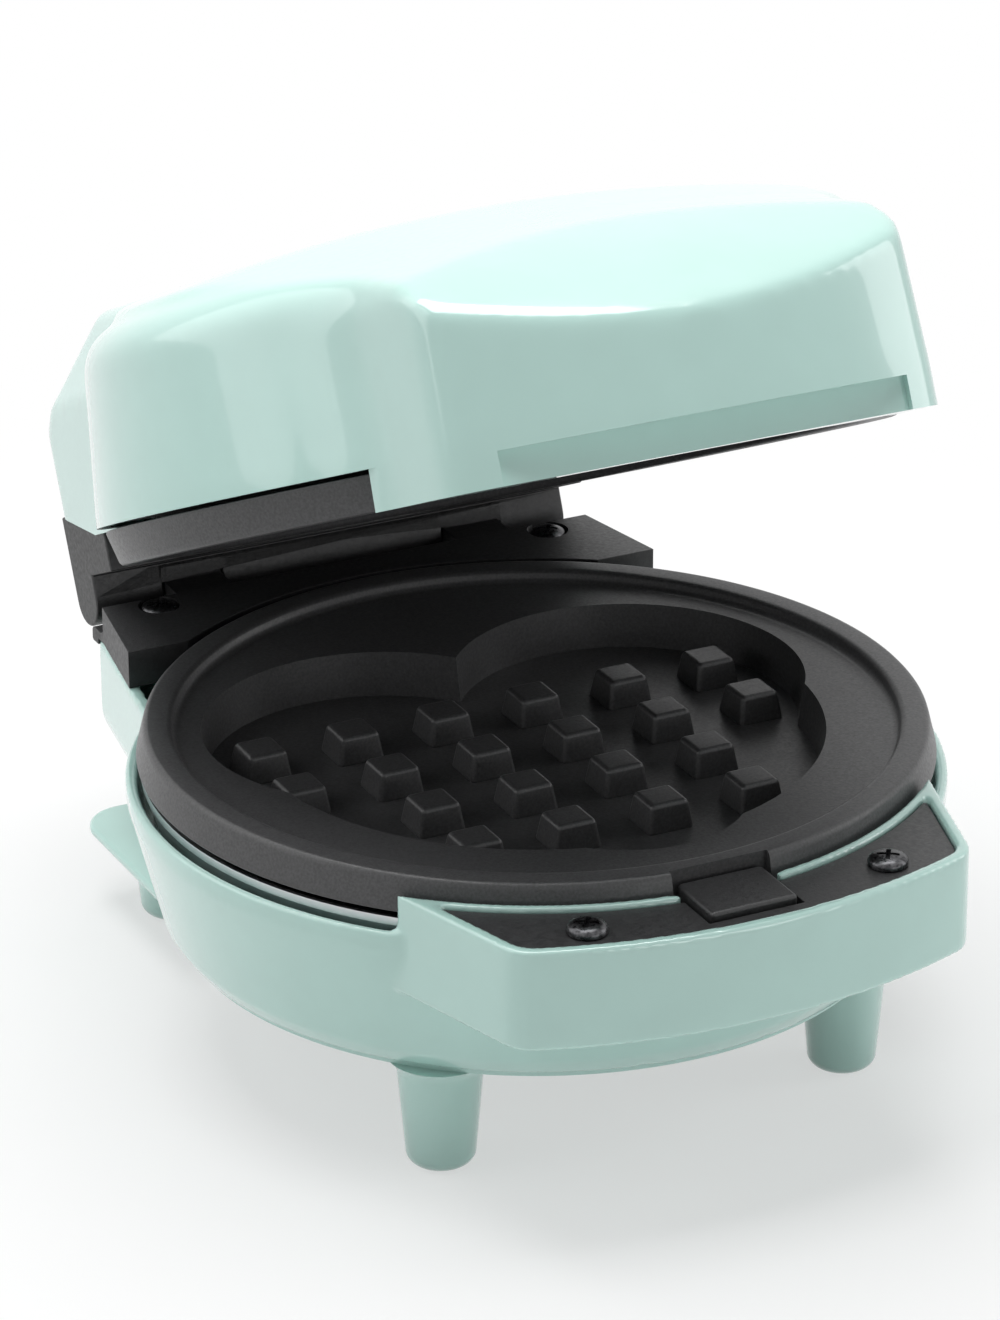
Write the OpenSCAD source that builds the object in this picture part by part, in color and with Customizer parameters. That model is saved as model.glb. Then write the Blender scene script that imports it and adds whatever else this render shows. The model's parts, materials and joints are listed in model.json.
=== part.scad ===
// Compact heart waffle maker, lid held part open.
// The cooking plates are centred on the work axis and the handle points to -Y.

/* [Cooking plates] */
// Radius of each plate at its rim
plate_r = 72; // [70:0.5:73]
// Height of the lower plate's rim above the table
parting_z = 61.7; // [60:0.1:64]
// Gap between the two rims when the lid is shut
rim_gap = 0.6; // [0.3:0.1:1.5]
// How far the flat land lies inside the rim
land_drop = 2.5; // [1.5:0.1:3]
// Width of the raised rim
rim_w = 5.5; // [4:0.5:7]
// Height of the plate's outer skirt
skirt_h = 6.7; // [5:0.1:7.5]
// Metal thickness of the cast plates
plate_t = 2.8; // [2:0.1:3.2]

/* [Heart] */
// Radius of the two upper lobes
lobe_r = 31; // [28:0.5:32]
// Sideways place of each lobe's centre
lobe_x = 25.5; // [24:0.5:27]
// Forward place of each lobe's centre
lobe_y = 12.5; // [10:0.5:14]
// Radius of the round belly
belly_r = 51; // [49:0.5:52]
// Radius of the tip
tip_r = 20; // [16:0.5:24]
// Depth of the cavity below the rim
cavity_depth = 11; // [10:0.25:12]
// Width of the waffle pegs
peg_w = 8.4; // [6:0.2:10]
// Height of the waffle pegs
peg_h = 5.4; // [4:0.2:5.6]
// Sideways spacing of the pegs
peg_pitch_x = 18.6; // [17:0.2:20]
// Spacing of the pegs from front to back
peg_pitch_y = 17.2; // [16:0.2:19]

/* [Base] */
// Radius of the bowl at its rim
bowl_rim_r = 75.6; // [75.2:0.1:77]
// Radius of the bowl at its lower edge
bowl_foot_r = 69.2; // [68:0.2:71]
// Height of the bowl's rim
bowl_rim_z = 52; // [50:0.5:53]
// Height of the bowl's lower edge
bowl_foot_z = 21.5; // [20:0.5:24]
// Thickness of the moulded plastic
wall = 2.4; // [2:0.1:2.6]
// Radius of a leg at its lower end
leg_tip_r = 6.4; // [5:0.2:7]
// Radius of a leg where it meets the bowl
leg_root_r = 9.2; // [8:0.2:9.6]

/* [Handle] */
// Half width of the handle where it leaves the bowl
handle_rear_x = 52.6; // [50:0.2:54]
// Half width of the handle at its front corners
handle_front_x = 45.8; // [43:0.2:47]
// Reach of the handle in front of the plate centre
handle_reach = 90.4; // [88:0.2:93]
// Radius of the handle's curved front
handle_front_r = 118; // [100:1:140]
// Radius of the handle's front corners
handle_corner_r = 7; // [5:0.5:9]
// Height of the handle's top edge
handle_top_z = 59; // [58:0.1:60]
// Height of the handle's underside
handle_foot_z = 40; // [37:0.5:43]

/* [Lid] */
// Angle at which the lid stands open
open_angle = 25; // [5:1:60]
// Radius of the lid's lower edge
lid_skirt_r = 75; // [75:0.2:78]
// Radius of the lid where its side starts to turn into the top
lid_shoulder_r = 71.9; // [71:0.1:73]
// Height where the lid's side starts to turn into the top
lid_shoulder_z = 96.5; // [96:0.5:99]
// Radius of the turn from the lid's side to its top
lid_round_r = 9; // [6:0.5:10]
// Height of the lid's round lower edge when shut
lid_skirt_z = 69.7; // [69:0.1:71]
// Height of the lid's crown when shut
lid_top_z = 113.2; // [110:0.1:118]
// Radius of the lid's sideways crown
crown_r = 322; // [250:2:500]
// Radius of the slope that falls to the lid's front
brow_r = 108; // [104:1:160]
// Slope of the lid's top in front of its highest line
forehead_slope = 0.21; // [0.1:0.01:0.3]
// Reach of the lid's nose in front of the plate centre
nose_reach = 91.6; // [90:0.2:93]
// Half width of the lid's nose where it leaves the round side
nose_rear_x = 50.4; // [49:0.2:52]
// Half width of the lid's nose at its front corners
nose_front_x = 47.4; // [45:0.2:48]

/* [Hinge] */
// Distance of the hinge pin behind the plate centre
hinge_y = 93.5; // [93:0.1:94]
// Height of the hinge pin
hinge_z = 58; // [57.6:0.1:58.4]
// Radius of the hinge pin
pin_r = 2; // [1.5:0.1:2.5]
// Play between the pin and the lid's bore
pin_play = 0.05; // [0.02:0.01:0.09]
// Radius of the knuckles around the pin
knuckle_r = 5.2; // [4.8:0.1:5.2]
// Half width of the lid's hinge block
hinge_half_w = 50.5; // [49:0.5:51]
// Width of each knuckle on the base
knuckle_w = 12; // [8:0.5:14]
// Sideways place of each knuckle
knuckle_x = 30; // [26:0.5:34]

/* [Hidden] */
$fn = 96;

mint = [0.69, 0.86, 0.80];
black = [0.14, 0.14, 0.15];
coated = [0.22, 0.22, 0.23];
alloy = [0.72, 0.73, 0.74];
steel = [0.62, 0.63, 0.65];
ceramic = [0.90, 0.88, 0.82];
lead_sleeve = [0.86, 0.84, 0.78];

// Plates
skirt_flare = 1.5;
skirt_r = plate_r + skirt_flare;
rim_inner_r = plate_r - rim_w;
rim_slope = 0.8;
skirt_wall = 3;
lip_grow = 2.4;
heart_point = 4;
peg_row_y = 2.9;
peg_room = 6.5;
notch_half_w = 9.6;
notch_y = -(plate_r - 1.8);
upper_parting_z = parting_z + rim_gap;
plate_under = cavity_depth + plate_t;
plate_air = 0.8;

// Fasteners
head_r = 3.65;
head_h = 2.1;
head_play = 0.3;
shank_r = 1.7;
hole_play = 0.1;
hole_r = shank_r + hole_play;
stud_r = 4;
post_r = 3.6;
lug_t = 4;
lug_rib_t = 2.8;
thread_len = 8;
screw_circle_r = plate_r - 15;

// Base
cover_t = 2.4;
fit_gap = 0.2;
bowl_slope = (bowl_rim_r - bowl_foot_r) / (bowl_rim_z - bowl_foot_z);
inner_wall_r = bowl_rim_r - 1.6;
inner_wall_t = 1.7;
leg_x = bowl_foot_r - 28.3;
leg_y = -(bowl_foot_r - 25.6);
leg_round_r = 2.6;
vent_count = 5;
vent_pitch = 9;
vent_w = 2.4;
vent_len = 32;
cover_screw_r = bowl_foot_r - 10.2;
wrap_top_z = 16;
wrap_t = 2;
wrap_half_w = 56.4;
wrap_front_y = bowl_foot_r - 25.2;
wrap_rear_y = 88;
wrap_corner_r = 8;
wrap_neck_half_w = 34;
wrap_neck_d = 14;
wrap_screw_x = 26;
wrap_screw_y = wrap_front_y + 6;
rear_leg_x = 44;
rear_leg_y = wrap_rear_y - 18;
lip_root_y = -42;
lip_side_run = 24;
deck_drop = 1;
deck_t = 2.4;
deck_screw_x = 29.4;
deck_front_y = handle_front_r - handle_reach - sqrt(pow(handle_front_r, 2) - pow(deck_screw_x, 2));
deck_screw_y = (deck_front_y - sqrt(pow(bowl_rim_r, 2) - pow(deck_screw_x, 2))) / 2;
deck_screw_len = 10;
locator_half_w = 8.4;
locator_d = 8;
locator_rise = 0.4;
locator_front_y = -(handle_reach - wall - 4);
boss_r = 4;
rear_box_y = 84.5;
rear_box_x = 52;
rear_box_flare_x = 57.6;
rear_box_flare_y = 49.5;
rear_box_front_y = 30;
rear_box_foot_z = 33;
bar_foot_z = 53.6;
bar_top_z = 61.1;
bar_front_y = 60;
bar_rear_y = 82;
bar_half_w = 52;
bar_flare_w = 55.8;
ledge_rear_y = 87.4;
ledge_top_z = 55.4;
ledge_foot_z = 52.4;
knuckle_rise = 2.4;
knuckle_gap = 0.4;
bar_screw_drop = 1.6;
bar_screw_x = 41.7;
bar_screw_y = 78.2;
bar_screw_len = 14;
pin_end_gap = 3;

// Heating parts
element_r = 40;
element_tube_r = 3.2;
element_sweep = 300;
element_gap = (360 - element_sweep) / 2;
element_end_x = element_r * sin(element_gap);
element_end_y = element_r * cos(element_gap);
element_end_h = 9;
element_pin_r = 1.2;
element_pin_h = 4;
clamp_t = 1.2;
clamp_w = 14;
clamp_len = 100;
plate_lift = 1.4;
reflector_t = 0.8;
reflector_depth = 17;
reflector_lip = 0.7;
reflector_brim_z = parting_z - skirt_h - plate_lift;
reflector_floor_z = reflector_brim_z - reflector_depth;
upper_back_z = upper_parting_z + plate_under;
upper_brim_z = upper_parting_z + skirt_h + plate_lift;
thermostat_r = 8;
thermostat_y = -20;
fuse_r = 2;
fuse_y = 20;
element_holes = [[-element_end_x, element_end_y, 4.5], [element_end_x, element_end_y, 4.5]];

// Wiring
lead_r = 1.3;
block_half_w = 18;
block_d = 9;
block_h = 10;
block_y = bowl_foot_r - 21.2;
block_lead_z = bowl_foot_z + cover_t + block_h / 2;
lead_way_z = rear_box_foot_z + wall;
lead_way_y = bowl_foot_r + bowl_slope * (lead_way_z - bowl_foot_z) - wall;
gland_z = 43.5;
gland_r = 4.2;
gland_bore_r = 2.9;
gland_tail = 1.4;
gland_len = 12;
gland_lead_y = rear_box_y - wall - gland_tail - 2.4;

// Lid
lid_wall = 2.4;
nose_foot_z = upper_parting_z + 0.6;
nose_draft = 2.7;
nose_step_y = -57;
brow_y = -19.5;
brow_lift = 0.3;
brow_end = 140;
lid_draw_z = 124;
lid_upright_z = 95;
lid_rear_draw = 13;
rear_flare = 3.5;
rear_flare_y = 58;
lid_rear_y = 98.7;
block_front_y = 88.1;
block_slab_y = 77;
block_slab_half_w = 52.6;
block_screw_x = 40;
block_screw_y = 86;
mint_rear_z = 74.7;
back_slope_top_y = 71;
back_slope_top_z = 114.2;
back_slope_foot_z = 96.5;
recess_half_w = 39;
recess_h = 6;
recess_depth = 8;

// The part is moved along Y so that its origin lies under the middle of its outer box.
front_y = -handle_reach;
back_y = hinge_y + (lid_rear_y - hinge_y) * cos(open_angle) + (back_slope_foot_z - hinge_z) * sin(open_angle);
centre_shift = -(front_y + back_y) / 2;

// ---------- placing ----------

module on_table() {
    translate([0, centre_shift, 0]) children();
}

module on_lid() {
    translate([0, centre_shift + hinge_y, hinge_z])
        rotate([-open_angle, 0, 0])
            translate([0, -hinge_y, -hinge_z])
                children();
}

module both_sides() {
    children();
    mirror([1, 0, 0]) children();
}

module along_x(x0, x1) {
    translate([x0, 0, 0]) rotate([90, 0, 90]) linear_extrude(x1 - x0) children();
}

// ---------- shared shapes ----------

module heart(grow = 0) {
    both_sides() translate([lobe_x, lobe_y]) circle(r = lobe_r + grow);
    intersection() {
        circle(r = belly_r + grow);
        translate([-2 * belly_r, lobe_y - 4 * belly_r]) square(4 * belly_r);
    }
    translate([0, tip_r - belly_r - heart_point]) circle(r = tip_r + grow);
}

function in_lobe(x, y, room) = norm([abs(x) - lobe_x, y - lobe_y]) < lobe_r - room;
function in_belly(x, y, room) = y < lobe_y && norm([x, y]) < belly_r - room;
function in_heart(x, y, room) = in_lobe(x, y, room) || in_belly(x, y, room);

// A cast plate with its rim at z = 0, its cavity facing up and its boss below.
module plate() {
    post_foot = -skirt_h - plate_lift - reflector_depth + reflector_t;
    difference() {
        union() {
            rotate_extrude() polygon([
                [0, -land_drop - plate_t],
                [0, -land_drop],
                [rim_inner_r, -land_drop],
                [rim_inner_r + rim_slope, 0],
                [plate_r, 0],
                [skirt_r, -skirt_h],
                [skirt_r - skirt_wall, -skirt_h],
                [skirt_r - skirt_wall - rim_slope, -land_drop - plate_t]
            ]);
            translate([0, 0, -plate_under])
                linear_extrude(plate_under - land_drop - 1) heart(lip_grow + plate_t);
            translate([0, 0, -plate_under - 2 * element_tube_r])
                cylinder(r = stud_r, h = 2 * element_tube_r + 1);
            screw_circle() translate([0, 0, post_foot])
                cylinder(r = post_r, h = -post_foot - land_drop - 1);
        }
        translate([0, 0, -plate_under - 2 * element_tube_r - 1])
            cylinder(r = hole_r, h = 2 * element_tube_r + 2.6);
        screw_circle() translate([0, 0, post_foot - 1]) cylinder(r = hole_r, h = thread_len + 1);
        translate([0, 0, -cavity_depth]) linear_extrude(cavity_depth + 1) heart(lip_grow);
        translate([-notch_half_w, notch_y - 20, -skirt_h - 1])
            cube([2 * notch_half_w, 20, skirt_h + 2]);
    }
    for (i = [-3 : 2], j = [-3 : 2]) {
        x = (i + 0.5) * peg_pitch_x;
        y = peg_row_y + j * peg_pitch_y;
        if (in_heart(x, y, peg_room))
            translate([x - peg_w / 2, y - peg_w / 2, -cavity_depth - 0.5])
                cube([peg_w, peg_w, peg_h + 0.5]);
    }
}

// A tube heater bent to an open ring, its terminals turned away from the plate at z = 0.
module element() {
    translate([0, 0, -element_tube_r]) {
        rotate([0, 0, 90 + element_gap])
            rotate_extrude(angle = element_sweep) translate([element_r, 0]) circle(r = element_tube_r);
        for (a = [90 - element_gap, 90 + element_gap]) rotate([0, 0, a])
            translate([element_r, 0, -element_end_h]) {
                cylinder(r = element_tube_r, h = element_end_h);
                translate([0, 0, -element_pin_h]) cylinder(r = element_pin_r, h = element_pin_h + 1);
            }
    }
}

// A steel strip that presses the heater against the plate at z = 0.
module clamp() {
    difference() {
        translate([-clamp_len / 2, -clamp_w / 2, -2 * element_tube_r - clamp_t])
            cube([clamp_len, clamp_w, clamp_t]);
        translate([0, 0, -2 * element_tube_r - clamp_t - 1])
            cylinder(r = hole_r, h = clamp_t + 2);
    }
}

// The screw that holds the strip, with its head below.
module clamp_screw() {
    translate([0, 0, -2 * element_tube_r - clamp_t]) rotate([180, 0, 0]) screw(2 * element_tube_r);
}

// A cross-head screw with the underside of its head at z = 0.
module screw(length) {
    difference() {
        union() {
            rotate_extrude() polygon([[0, 0], [head_r, 0], [head_r, head_h * 0.45],
                [head_r * 0.72, head_h * 0.9], [head_r * 0.3, head_h], [0, head_h]]);
            translate([0, 0, -length]) cylinder(r = shank_r, h = length);
        }
        for (a = [45, 135])
            rotate([0, 0, a]) translate([-2.1, -0.45, head_h - 1.2]) cube([4.2, 0.9, 2]);
    }
}

// A spun dish behind a plate: its brim at z = 0 and its floor below.
module reflector(brim_r, leads) {
    difference() {
        rotate_extrude() polygon([
            [0, -reflector_depth],
            [brim_r - 9, -reflector_depth],
            [brim_r - 2.6, -reflector_depth * 0.53],
            [brim_r, -1.5],
            [brim_r, 0],
            [brim_r - reflector_t, 0],
            [brim_r - reflector_t, -1.5],
            [brim_r - 2.6 - reflector_t, -reflector_depth * 0.53],
            [brim_r - 9.3, -reflector_depth + reflector_t],
            [0, -reflector_depth + reflector_t]
        ]);
        for (p = leads)
            translate([p[0], p[1], -reflector_depth - 1]) cylinder(r = p[2], h = reflector_t + 2);
        screw_circle() translate([0, 0, -reflector_depth - 1])
            cylinder(r = hole_r, h = reflector_t + 2);
    }
}

module screw_circle() {
    for (a = [30, 150, 270]) rotate([0, 0, a]) translate([screw_circle_r, 0, 0]) children();
}

module cover_screw_circle() {
    for (a = [12, -22, 168, 202]) rotate([0, 0, a]) translate([cover_screw_r, 0, 0]) children();
}

// A screw post with a rib that runs out to the wall behind it.
module lug(z0, height) {
    translate([0, 0, z0]) {
        cylinder(r = post_r, h = height);
        translate([0, -lug_rib_t / 2, 0]) cube([plate_r / 2, lug_rib_t, height]);
    }
}

// A chain of round bars between points, with round bends.
module run(points, r) {
    for (i = [0 : len(points) - 2]) {
        a = points[i];
        d = points[i + 1] - a;
        translate(a)
            rotate([0, acos(d[2] / norm(d)), atan2(d[1], d[0])])
                cylinder(r = r, h = norm(d), $fn = 24);
    }
    for (i = [1 : len(points) - 2]) translate(points[i]) sphere(r = 1.06 * r, $fn = 24);
}

// The outline of a lip in front of the plates: curved front, round corners, slanted sides.
module lip_plan(rear_x, front_x, reach, inset) {
    arc_centre = [0, handle_front_r - reach];
    corner_x = front_x - handle_corner_r;
    corner_y = arc_centre[1] - sqrt(pow(handle_front_r - handle_corner_r, 2) - pow(corner_x, 2));
    lean = atan2(rear_x - front_x, lip_side_run);
    meet = atan2(corner_y - arc_centre[1], corner_x);
    r = handle_corner_r - inset;
    root_x = corner_x + r * cos(lean) + (lip_root_y - corner_y + r * sin(lean)) * tan(lean);
    polygon(concat(
        [[root_x, lip_root_y]],
        arc([corner_x, corner_y], r, -lean, meet, 10),
        arc(arc_centre, handle_front_r - inset, meet, -180 - meet, 28),
        arc([-corner_x, corner_y], r, -180 - meet, -180 + lean, 10),
        [[-root_x, lip_root_y]]
    ));
}

function arc(centre, r, a0, a1, steps) =
    [for (i = [0 : steps]) centre + r * [cos(a0 + (a1 - a0) * i / steps), sin(a0 + (a1 - a0) * i / steps)]];

// ---------- base ----------

module handle_plan(inset = 0) {
    lip_plan(handle_rear_x, handle_front_x, handle_reach, inset);
}

module rear_plan(inset = 0) {
    polygon([
        [-rear_box_x + inset, rear_box_y - inset], [rear_box_x - inset, rear_box_y - inset],
        [rear_box_flare_x - inset, rear_box_flare_y], [rear_box_flare_x - inset, rear_box_front_y],
        [-rear_box_flare_x + inset, rear_box_front_y], [-rear_box_flare_x + inset, rear_box_flare_y]
    ]);
}

module bowl(inset = 0, over = 0) {
    rotate_extrude() polygon([
        [0, bowl_foot_z - over],
        [bowl_foot_r - inset, bowl_foot_z - over],
        [bowl_foot_r - inset, bowl_foot_z],
        [bowl_rim_r - inset, bowl_rim_z],
        [bowl_rim_r - inset, bowl_rim_z + over],
        [0, bowl_rim_z + over]
    ]);
}

module screw_boss(x, y, z0, z1) {
    translate([x, y, z0]) cylinder(r = boss_r, h = z1 - z0);
}

module screw_bore(x, y, z0, z1) {
    translate([x, y, z0]) cylinder(r = hole_r, h = z1 - z0);
}

module lower_housing() {
    color(mint) on_table() difference() {
        union() {
            difference() {
                union() {
                    bowl();
                    translate([0, 0, handle_foot_z])
                        linear_extrude(handle_top_z - handle_foot_z) handle_plan();
                    translate([0, 0, rear_box_foot_z])
                        linear_extrude(bar_foot_z - rear_box_foot_z) rear_plan();
                }
                bowl(wall, 1);
                translate([0, 0, bowl_rim_z]) cylinder(r = inner_wall_r, h = 20);
                translate([0, 0, handle_foot_z + wall]) linear_extrude(30) difference() {
                    handle_plan(wall);
                    circle(r = inner_wall_r + inner_wall_t);
                }
                translate([0, 0, rear_box_foot_z + wall]) linear_extrude(30) difference() {
                    rear_plan(wall);
                    circle(r = bowl_rim_r);
                }
                // Space for the locator block between the handle and the plate
                translate([-notch_half_w, -handle_reach + wall, bowl_rim_z - 1])
                    cube([2 * notch_half_w, handle_reach - wall - rim_inner_r, handle_top_z - bowl_rim_z + 2]);
            }
            both_sides() {
                screw_boss(deck_screw_x, deck_screw_y, handle_foot_z + 1,
                    handle_top_z - deck_drop - deck_t);
                screw_boss(bar_screw_x, bar_screw_y, rear_box_foot_z + 1, bar_foot_z);
            }
            // Lugs under the reflector and posts for the bottom cover's screws
            intersection() {
                union() {
                    screw_circle() lug(reflector_floor_z - lug_t, lug_t);
                    cover_screw_circle() lug(bowl_foot_z + cover_t, thread_len);
                }
                bowl();
            }
        }
        screw_circle() translate([0, 0, reflector_floor_z - lug_t - 1])
            cylinder(r = hole_r, h = lug_t + 2);
        cover_screw_circle() translate([0, 0, bowl_foot_z]) cylinder(r = hole_r, h = cover_t + thread_len - 1);
        // Way through the bowl for the leads
        translate([-6, lead_way_y - 9, lead_way_z]) cube([12, 20, 6]);
        both_sides() {
            screw_bore(deck_screw_x, deck_screw_y, handle_foot_z + 2 * wall, handle_top_z + 1);
            screw_bore(bar_screw_x, bar_screw_y, rear_box_foot_z + 2 * wall, bar_foot_z + 1);
        }
        translate([0, rear_box_y + 1, gland_z]) rotate([90, 0, 0])
            cylinder(r = gland_r, h = 2 * wall);
    }
}

module leg(tip_r, root_r, height) {
    rotate_extrude() {
        polygon([
            [0, 0], [tip_r - leg_round_r, 0], [tip_r, leg_round_r], [root_r, height], [0, height]
        ]);
        translate([tip_r - leg_round_r, leg_round_r]) intersection() {
            circle(r = leg_round_r, $fn = 48);
            translate([0, -leg_round_r]) square([leg_round_r, leg_round_r]);
        }
    }
}

module for_vents() {
    for (i = [0 : vent_count - 1]) translate([0, (i - (vent_count - 1) / 2) * vent_pitch, 0]) children();
}

module bottom_cover() {
    color(mint) on_table() difference() {
        union() {
            translate([0, 0, bowl_foot_z])
                cylinder(r = bowl_foot_r - wall - fit_gap, h = cover_t);
            both_sides() translate([leg_x, leg_y, 0]) leg(leg_tip_r, leg_root_r, bowl_foot_z);
            // Vent louvres between the legs
            for_vents() translate([-vent_len / 2 - 2, -1, bowl_foot_z - 0.8]) cube([vent_len + 4, 2, 1.2]);
        }
        for_vents() translate([-vent_len / 2, 2.2, bowl_foot_z - 1]) cube([vent_len, vent_w, cover_t + 2]);
        cover_screw_circle() screw_bore(0, 0, bowl_foot_z - 1, bowl_foot_z + cover_t + 1);
        both_sides() screw_bore(wrap_screw_x, wrap_screw_y, bowl_foot_z - 1, bowl_foot_z + cover_t + 1);
    }
}

module wrap_plan() {
    both_sides() {
        translate([wrap_half_w - wrap_corner_r, wrap_rear_y - wrap_corner_r]) circle(r = wrap_corner_r);
        translate([0, wrap_front_y]) square([wrap_half_w, wrap_rear_y - wrap_corner_r - wrap_front_y]);
        translate([0, wrap_front_y]) square([wrap_half_w - wrap_corner_r, wrap_rear_y - wrap_front_y]);
    }
}

module cord_wrap() {
    color(mint) on_table() difference() {
        union() {
            translate([0, 0, wrap_top_z - wrap_t]) linear_extrude(wrap_t) wrap_plan();
            translate([-wrap_neck_half_w, wrap_front_y, wrap_top_z - 1])
                cube([2 * wrap_neck_half_w, wrap_neck_d, bowl_foot_z - wrap_top_z + 1]);
            both_sides() translate([rear_leg_x, rear_leg_y, 0])
                leg(leg_tip_r, leg_root_r - 0.6, wrap_top_z - wrap_t);
        }
        both_sides() {
            screw_bore(wrap_screw_x, wrap_screw_y, wrap_top_z - 4, bowl_foot_z + 1);
            translate([wrap_screw_x, wrap_screw_y, wrap_top_z - wrap_t - 1])
                cylinder(r = head_r + head_play, h = 1 + head_h + fit_gap);
        }
    }
}

module hinge_bar() {
    color(black) on_table() difference() {
        union() {
            difference() {
                union() {
                    translate([0, 0, bar_foot_z]) linear_extrude(bar_top_z - bar_foot_z) polygon([
                        [-bar_half_w, bar_rear_y], [bar_half_w, bar_rear_y],
                        [bar_flare_w, bar_front_y], [-bar_flare_w, bar_front_y]
                    ]);
                    along_x(-bar_half_w, bar_half_w) polygon([
                        [bar_rear_y - 1, bar_foot_z], [rear_box_y, bar_foot_z], [rear_box_y, ledge_foot_z],
                        [ledge_rear_y, ledge_foot_z], [ledge_rear_y, ledge_top_z - 0.8],
                        [ledge_rear_y - 2, ledge_top_z], [bar_rear_y + 1, ledge_top_z],
                        [bar_rear_y - 1, ledge_top_z + 2]
                    ]);
                }
                cylinder(r = skirt_r + 0.6, h = bar_top_z + 1);
            }
            both_sides() along_x(knuckle_x - knuckle_w / 2, knuckle_x + knuckle_w / 2) {
                translate([hinge_y, hinge_z]) circle(r = knuckle_r);
                polygon([
                    [bar_rear_y - 1, bar_foot_z + 0.6], [hinge_y, hinge_z - knuckle_r],
                    [hinge_y, hinge_z + knuckle_rise], [bar_rear_y - 1, hinge_z + knuckle_rise]
                ]);
            }
        }
        both_sides() {
            screw_bore(bar_screw_x, bar_screw_y, bar_foot_z - 1, bar_top_z + 1);
            translate([bar_screw_x, bar_screw_y, bar_top_z - bar_screw_drop])
                cylinder(r = head_r + head_play, h = bar_screw_drop + 1);
        }
        along_x(-bar_flare_w, bar_flare_w) translate([hinge_y, hinge_z]) circle(r = pin_r);
    }
}

module hinge_pin() {
    color(steel) on_table()
        along_x(-hinge_half_w + pin_end_gap, hinge_half_w - pin_end_gap)
            translate([hinge_y, hinge_z]) circle(r = pin_r);
}

module front_deck() {
    deck_top = handle_top_z - deck_drop;
    color(black) on_table() difference() {
        translate([0, 0, deck_top - deck_t]) linear_extrude(deck_t) difference() {
            handle_plan(wall + fit_gap);
            circle(r = inner_wall_r + inner_wall_t + fit_gap, $fn = 180);
            translate([-locator_half_w - 0.8, locator_front_y - 0.6])
                square([2 * locator_half_w + 1.6, handle_reach]);
        }
        both_sides() screw_bore(deck_screw_x, deck_screw_y, deck_top - deck_t - 1, deck_top + 1);
    }
}

module plate_locator() {
    color(black) on_table() difference() {
        union() {
            translate([-locator_half_w, locator_front_y, handle_foot_z + wall])
                cube([2 * locator_half_w, locator_d, handle_top_z + locator_rise - handle_foot_z - wall]);
            translate([-locator_half_w, locator_front_y, reflector_brim_z + locator_rise])
                cube([2 * locator_half_w, notch_y - locator_front_y - 0.6, handle_top_z - reflector_brim_z]);
        }
        cylinder(r = bowl_rim_r + fit_gap, h = bowl_rim_z + fit_gap);
    }
}

module deck_screws() {
    color(steel) on_table() both_sides()
        translate([deck_screw_x, deck_screw_y, handle_top_z - deck_drop]) screw(deck_screw_len);
}

module hinge_bar_screws() {
    color(steel) on_table() both_sides()
        translate([bar_screw_x, bar_screw_y, bar_top_z - bar_screw_drop]) screw(bar_screw_len);
}

module bottom_cover_screws() {
    color(steel) on_table() cover_screw_circle()
        translate([0, 0, bowl_foot_z]) rotate([180, 0, 0]) screw(cover_t + thread_len - 1.4);
}

module cord_wrap_screws() {
    color(steel) on_table() both_sides()
        translate([wrap_screw_x, wrap_screw_y, wrap_top_z - wrap_t + head_h]) rotate([180, 0, 0]) screw(9);
}

module lower_plate() {
    color(coated) on_table() translate([0, 0, parting_z]) plate();
}

module lower_reflector() {
    color(alloy) on_table() translate([0, 0, reflector_brim_z])
        reflector(plate_r + reflector_lip, concat(element_holes, [[0, fuse_y, 7]]));
}

module lower_heating_element() {
    color(steel) on_table() translate([0, 0, parting_z - plate_under]) element();
}

module lower_element_clamp() {
    color(steel) on_table() translate([0, 0, parting_z - plate_under]) clamp();
}

module lower_clamp_screw() {
    color(steel) on_table() translate([0, 0, parting_z - plate_under]) clamp_screw();
}

module lower_plate_screws() {
    color(steel) on_table() screw_circle()
        translate([0, 0, reflector_floor_z - lug_t]) rotate([180, 0, 0]) screw(lug_t + thread_len);
}

module thermostat() {
    color(ceramic) on_table() translate([0, thermostat_y, parting_z - plate_under - 6]) {
        cylinder(r = thermostat_r, h = 6);
        translate([-thermostat_r - 3.5, -4, 4.4]) cube([2 * thermostat_r + 7, 8, 0.8]);
    }
}

module thermal_fuse() {
    color(steel) on_table() translate([-6, fuse_y, parting_z - plate_under - fuse_r - 0.2]) rotate([0, 90, 0]) {
        cylinder(r = fuse_r, h = 12);
        translate([0, 0, -7]) cylinder(r = 0.6, h = 26);
    }
}

module terminal_block() {
    color(ceramic) on_table() translate([-block_half_w, block_y, bowl_foot_z + cover_t]) difference() {
        cube([2 * block_half_w, block_d, block_h]);
        for (i = [1, 3, 5]) translate([i * block_half_w / 3, block_d / 2, block_h - 3]) cylinder(r = 2, h = 7);
    }
}

module lower_leads() {
    pin_z = parting_z - plate_under - element_tube_r - element_end_h - element_pin_h;
    color(lead_sleeve) on_table() {
        both_sides() run([
            [element_end_x, element_end_y, pin_z], [element_end_x, element_end_y, block_lead_z],
            [12, element_end_y + 6, block_lead_z], [12, block_y, block_lead_z]
        ], lead_r);
        both_sides() run([
            [1.5, gland_lead_y, gland_z], [1.5, gland_lead_y - 2, lead_way_z + 3.1],
            [2, lead_way_y - 0.7, lead_way_z + 1.8], [5, lead_way_y - 7.7, lead_way_z - 4.4],
            [8, block_y + block_d + 4, block_lead_z], [8, block_y + block_d, block_lead_z]
        ], lead_r);
    }
}

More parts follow.
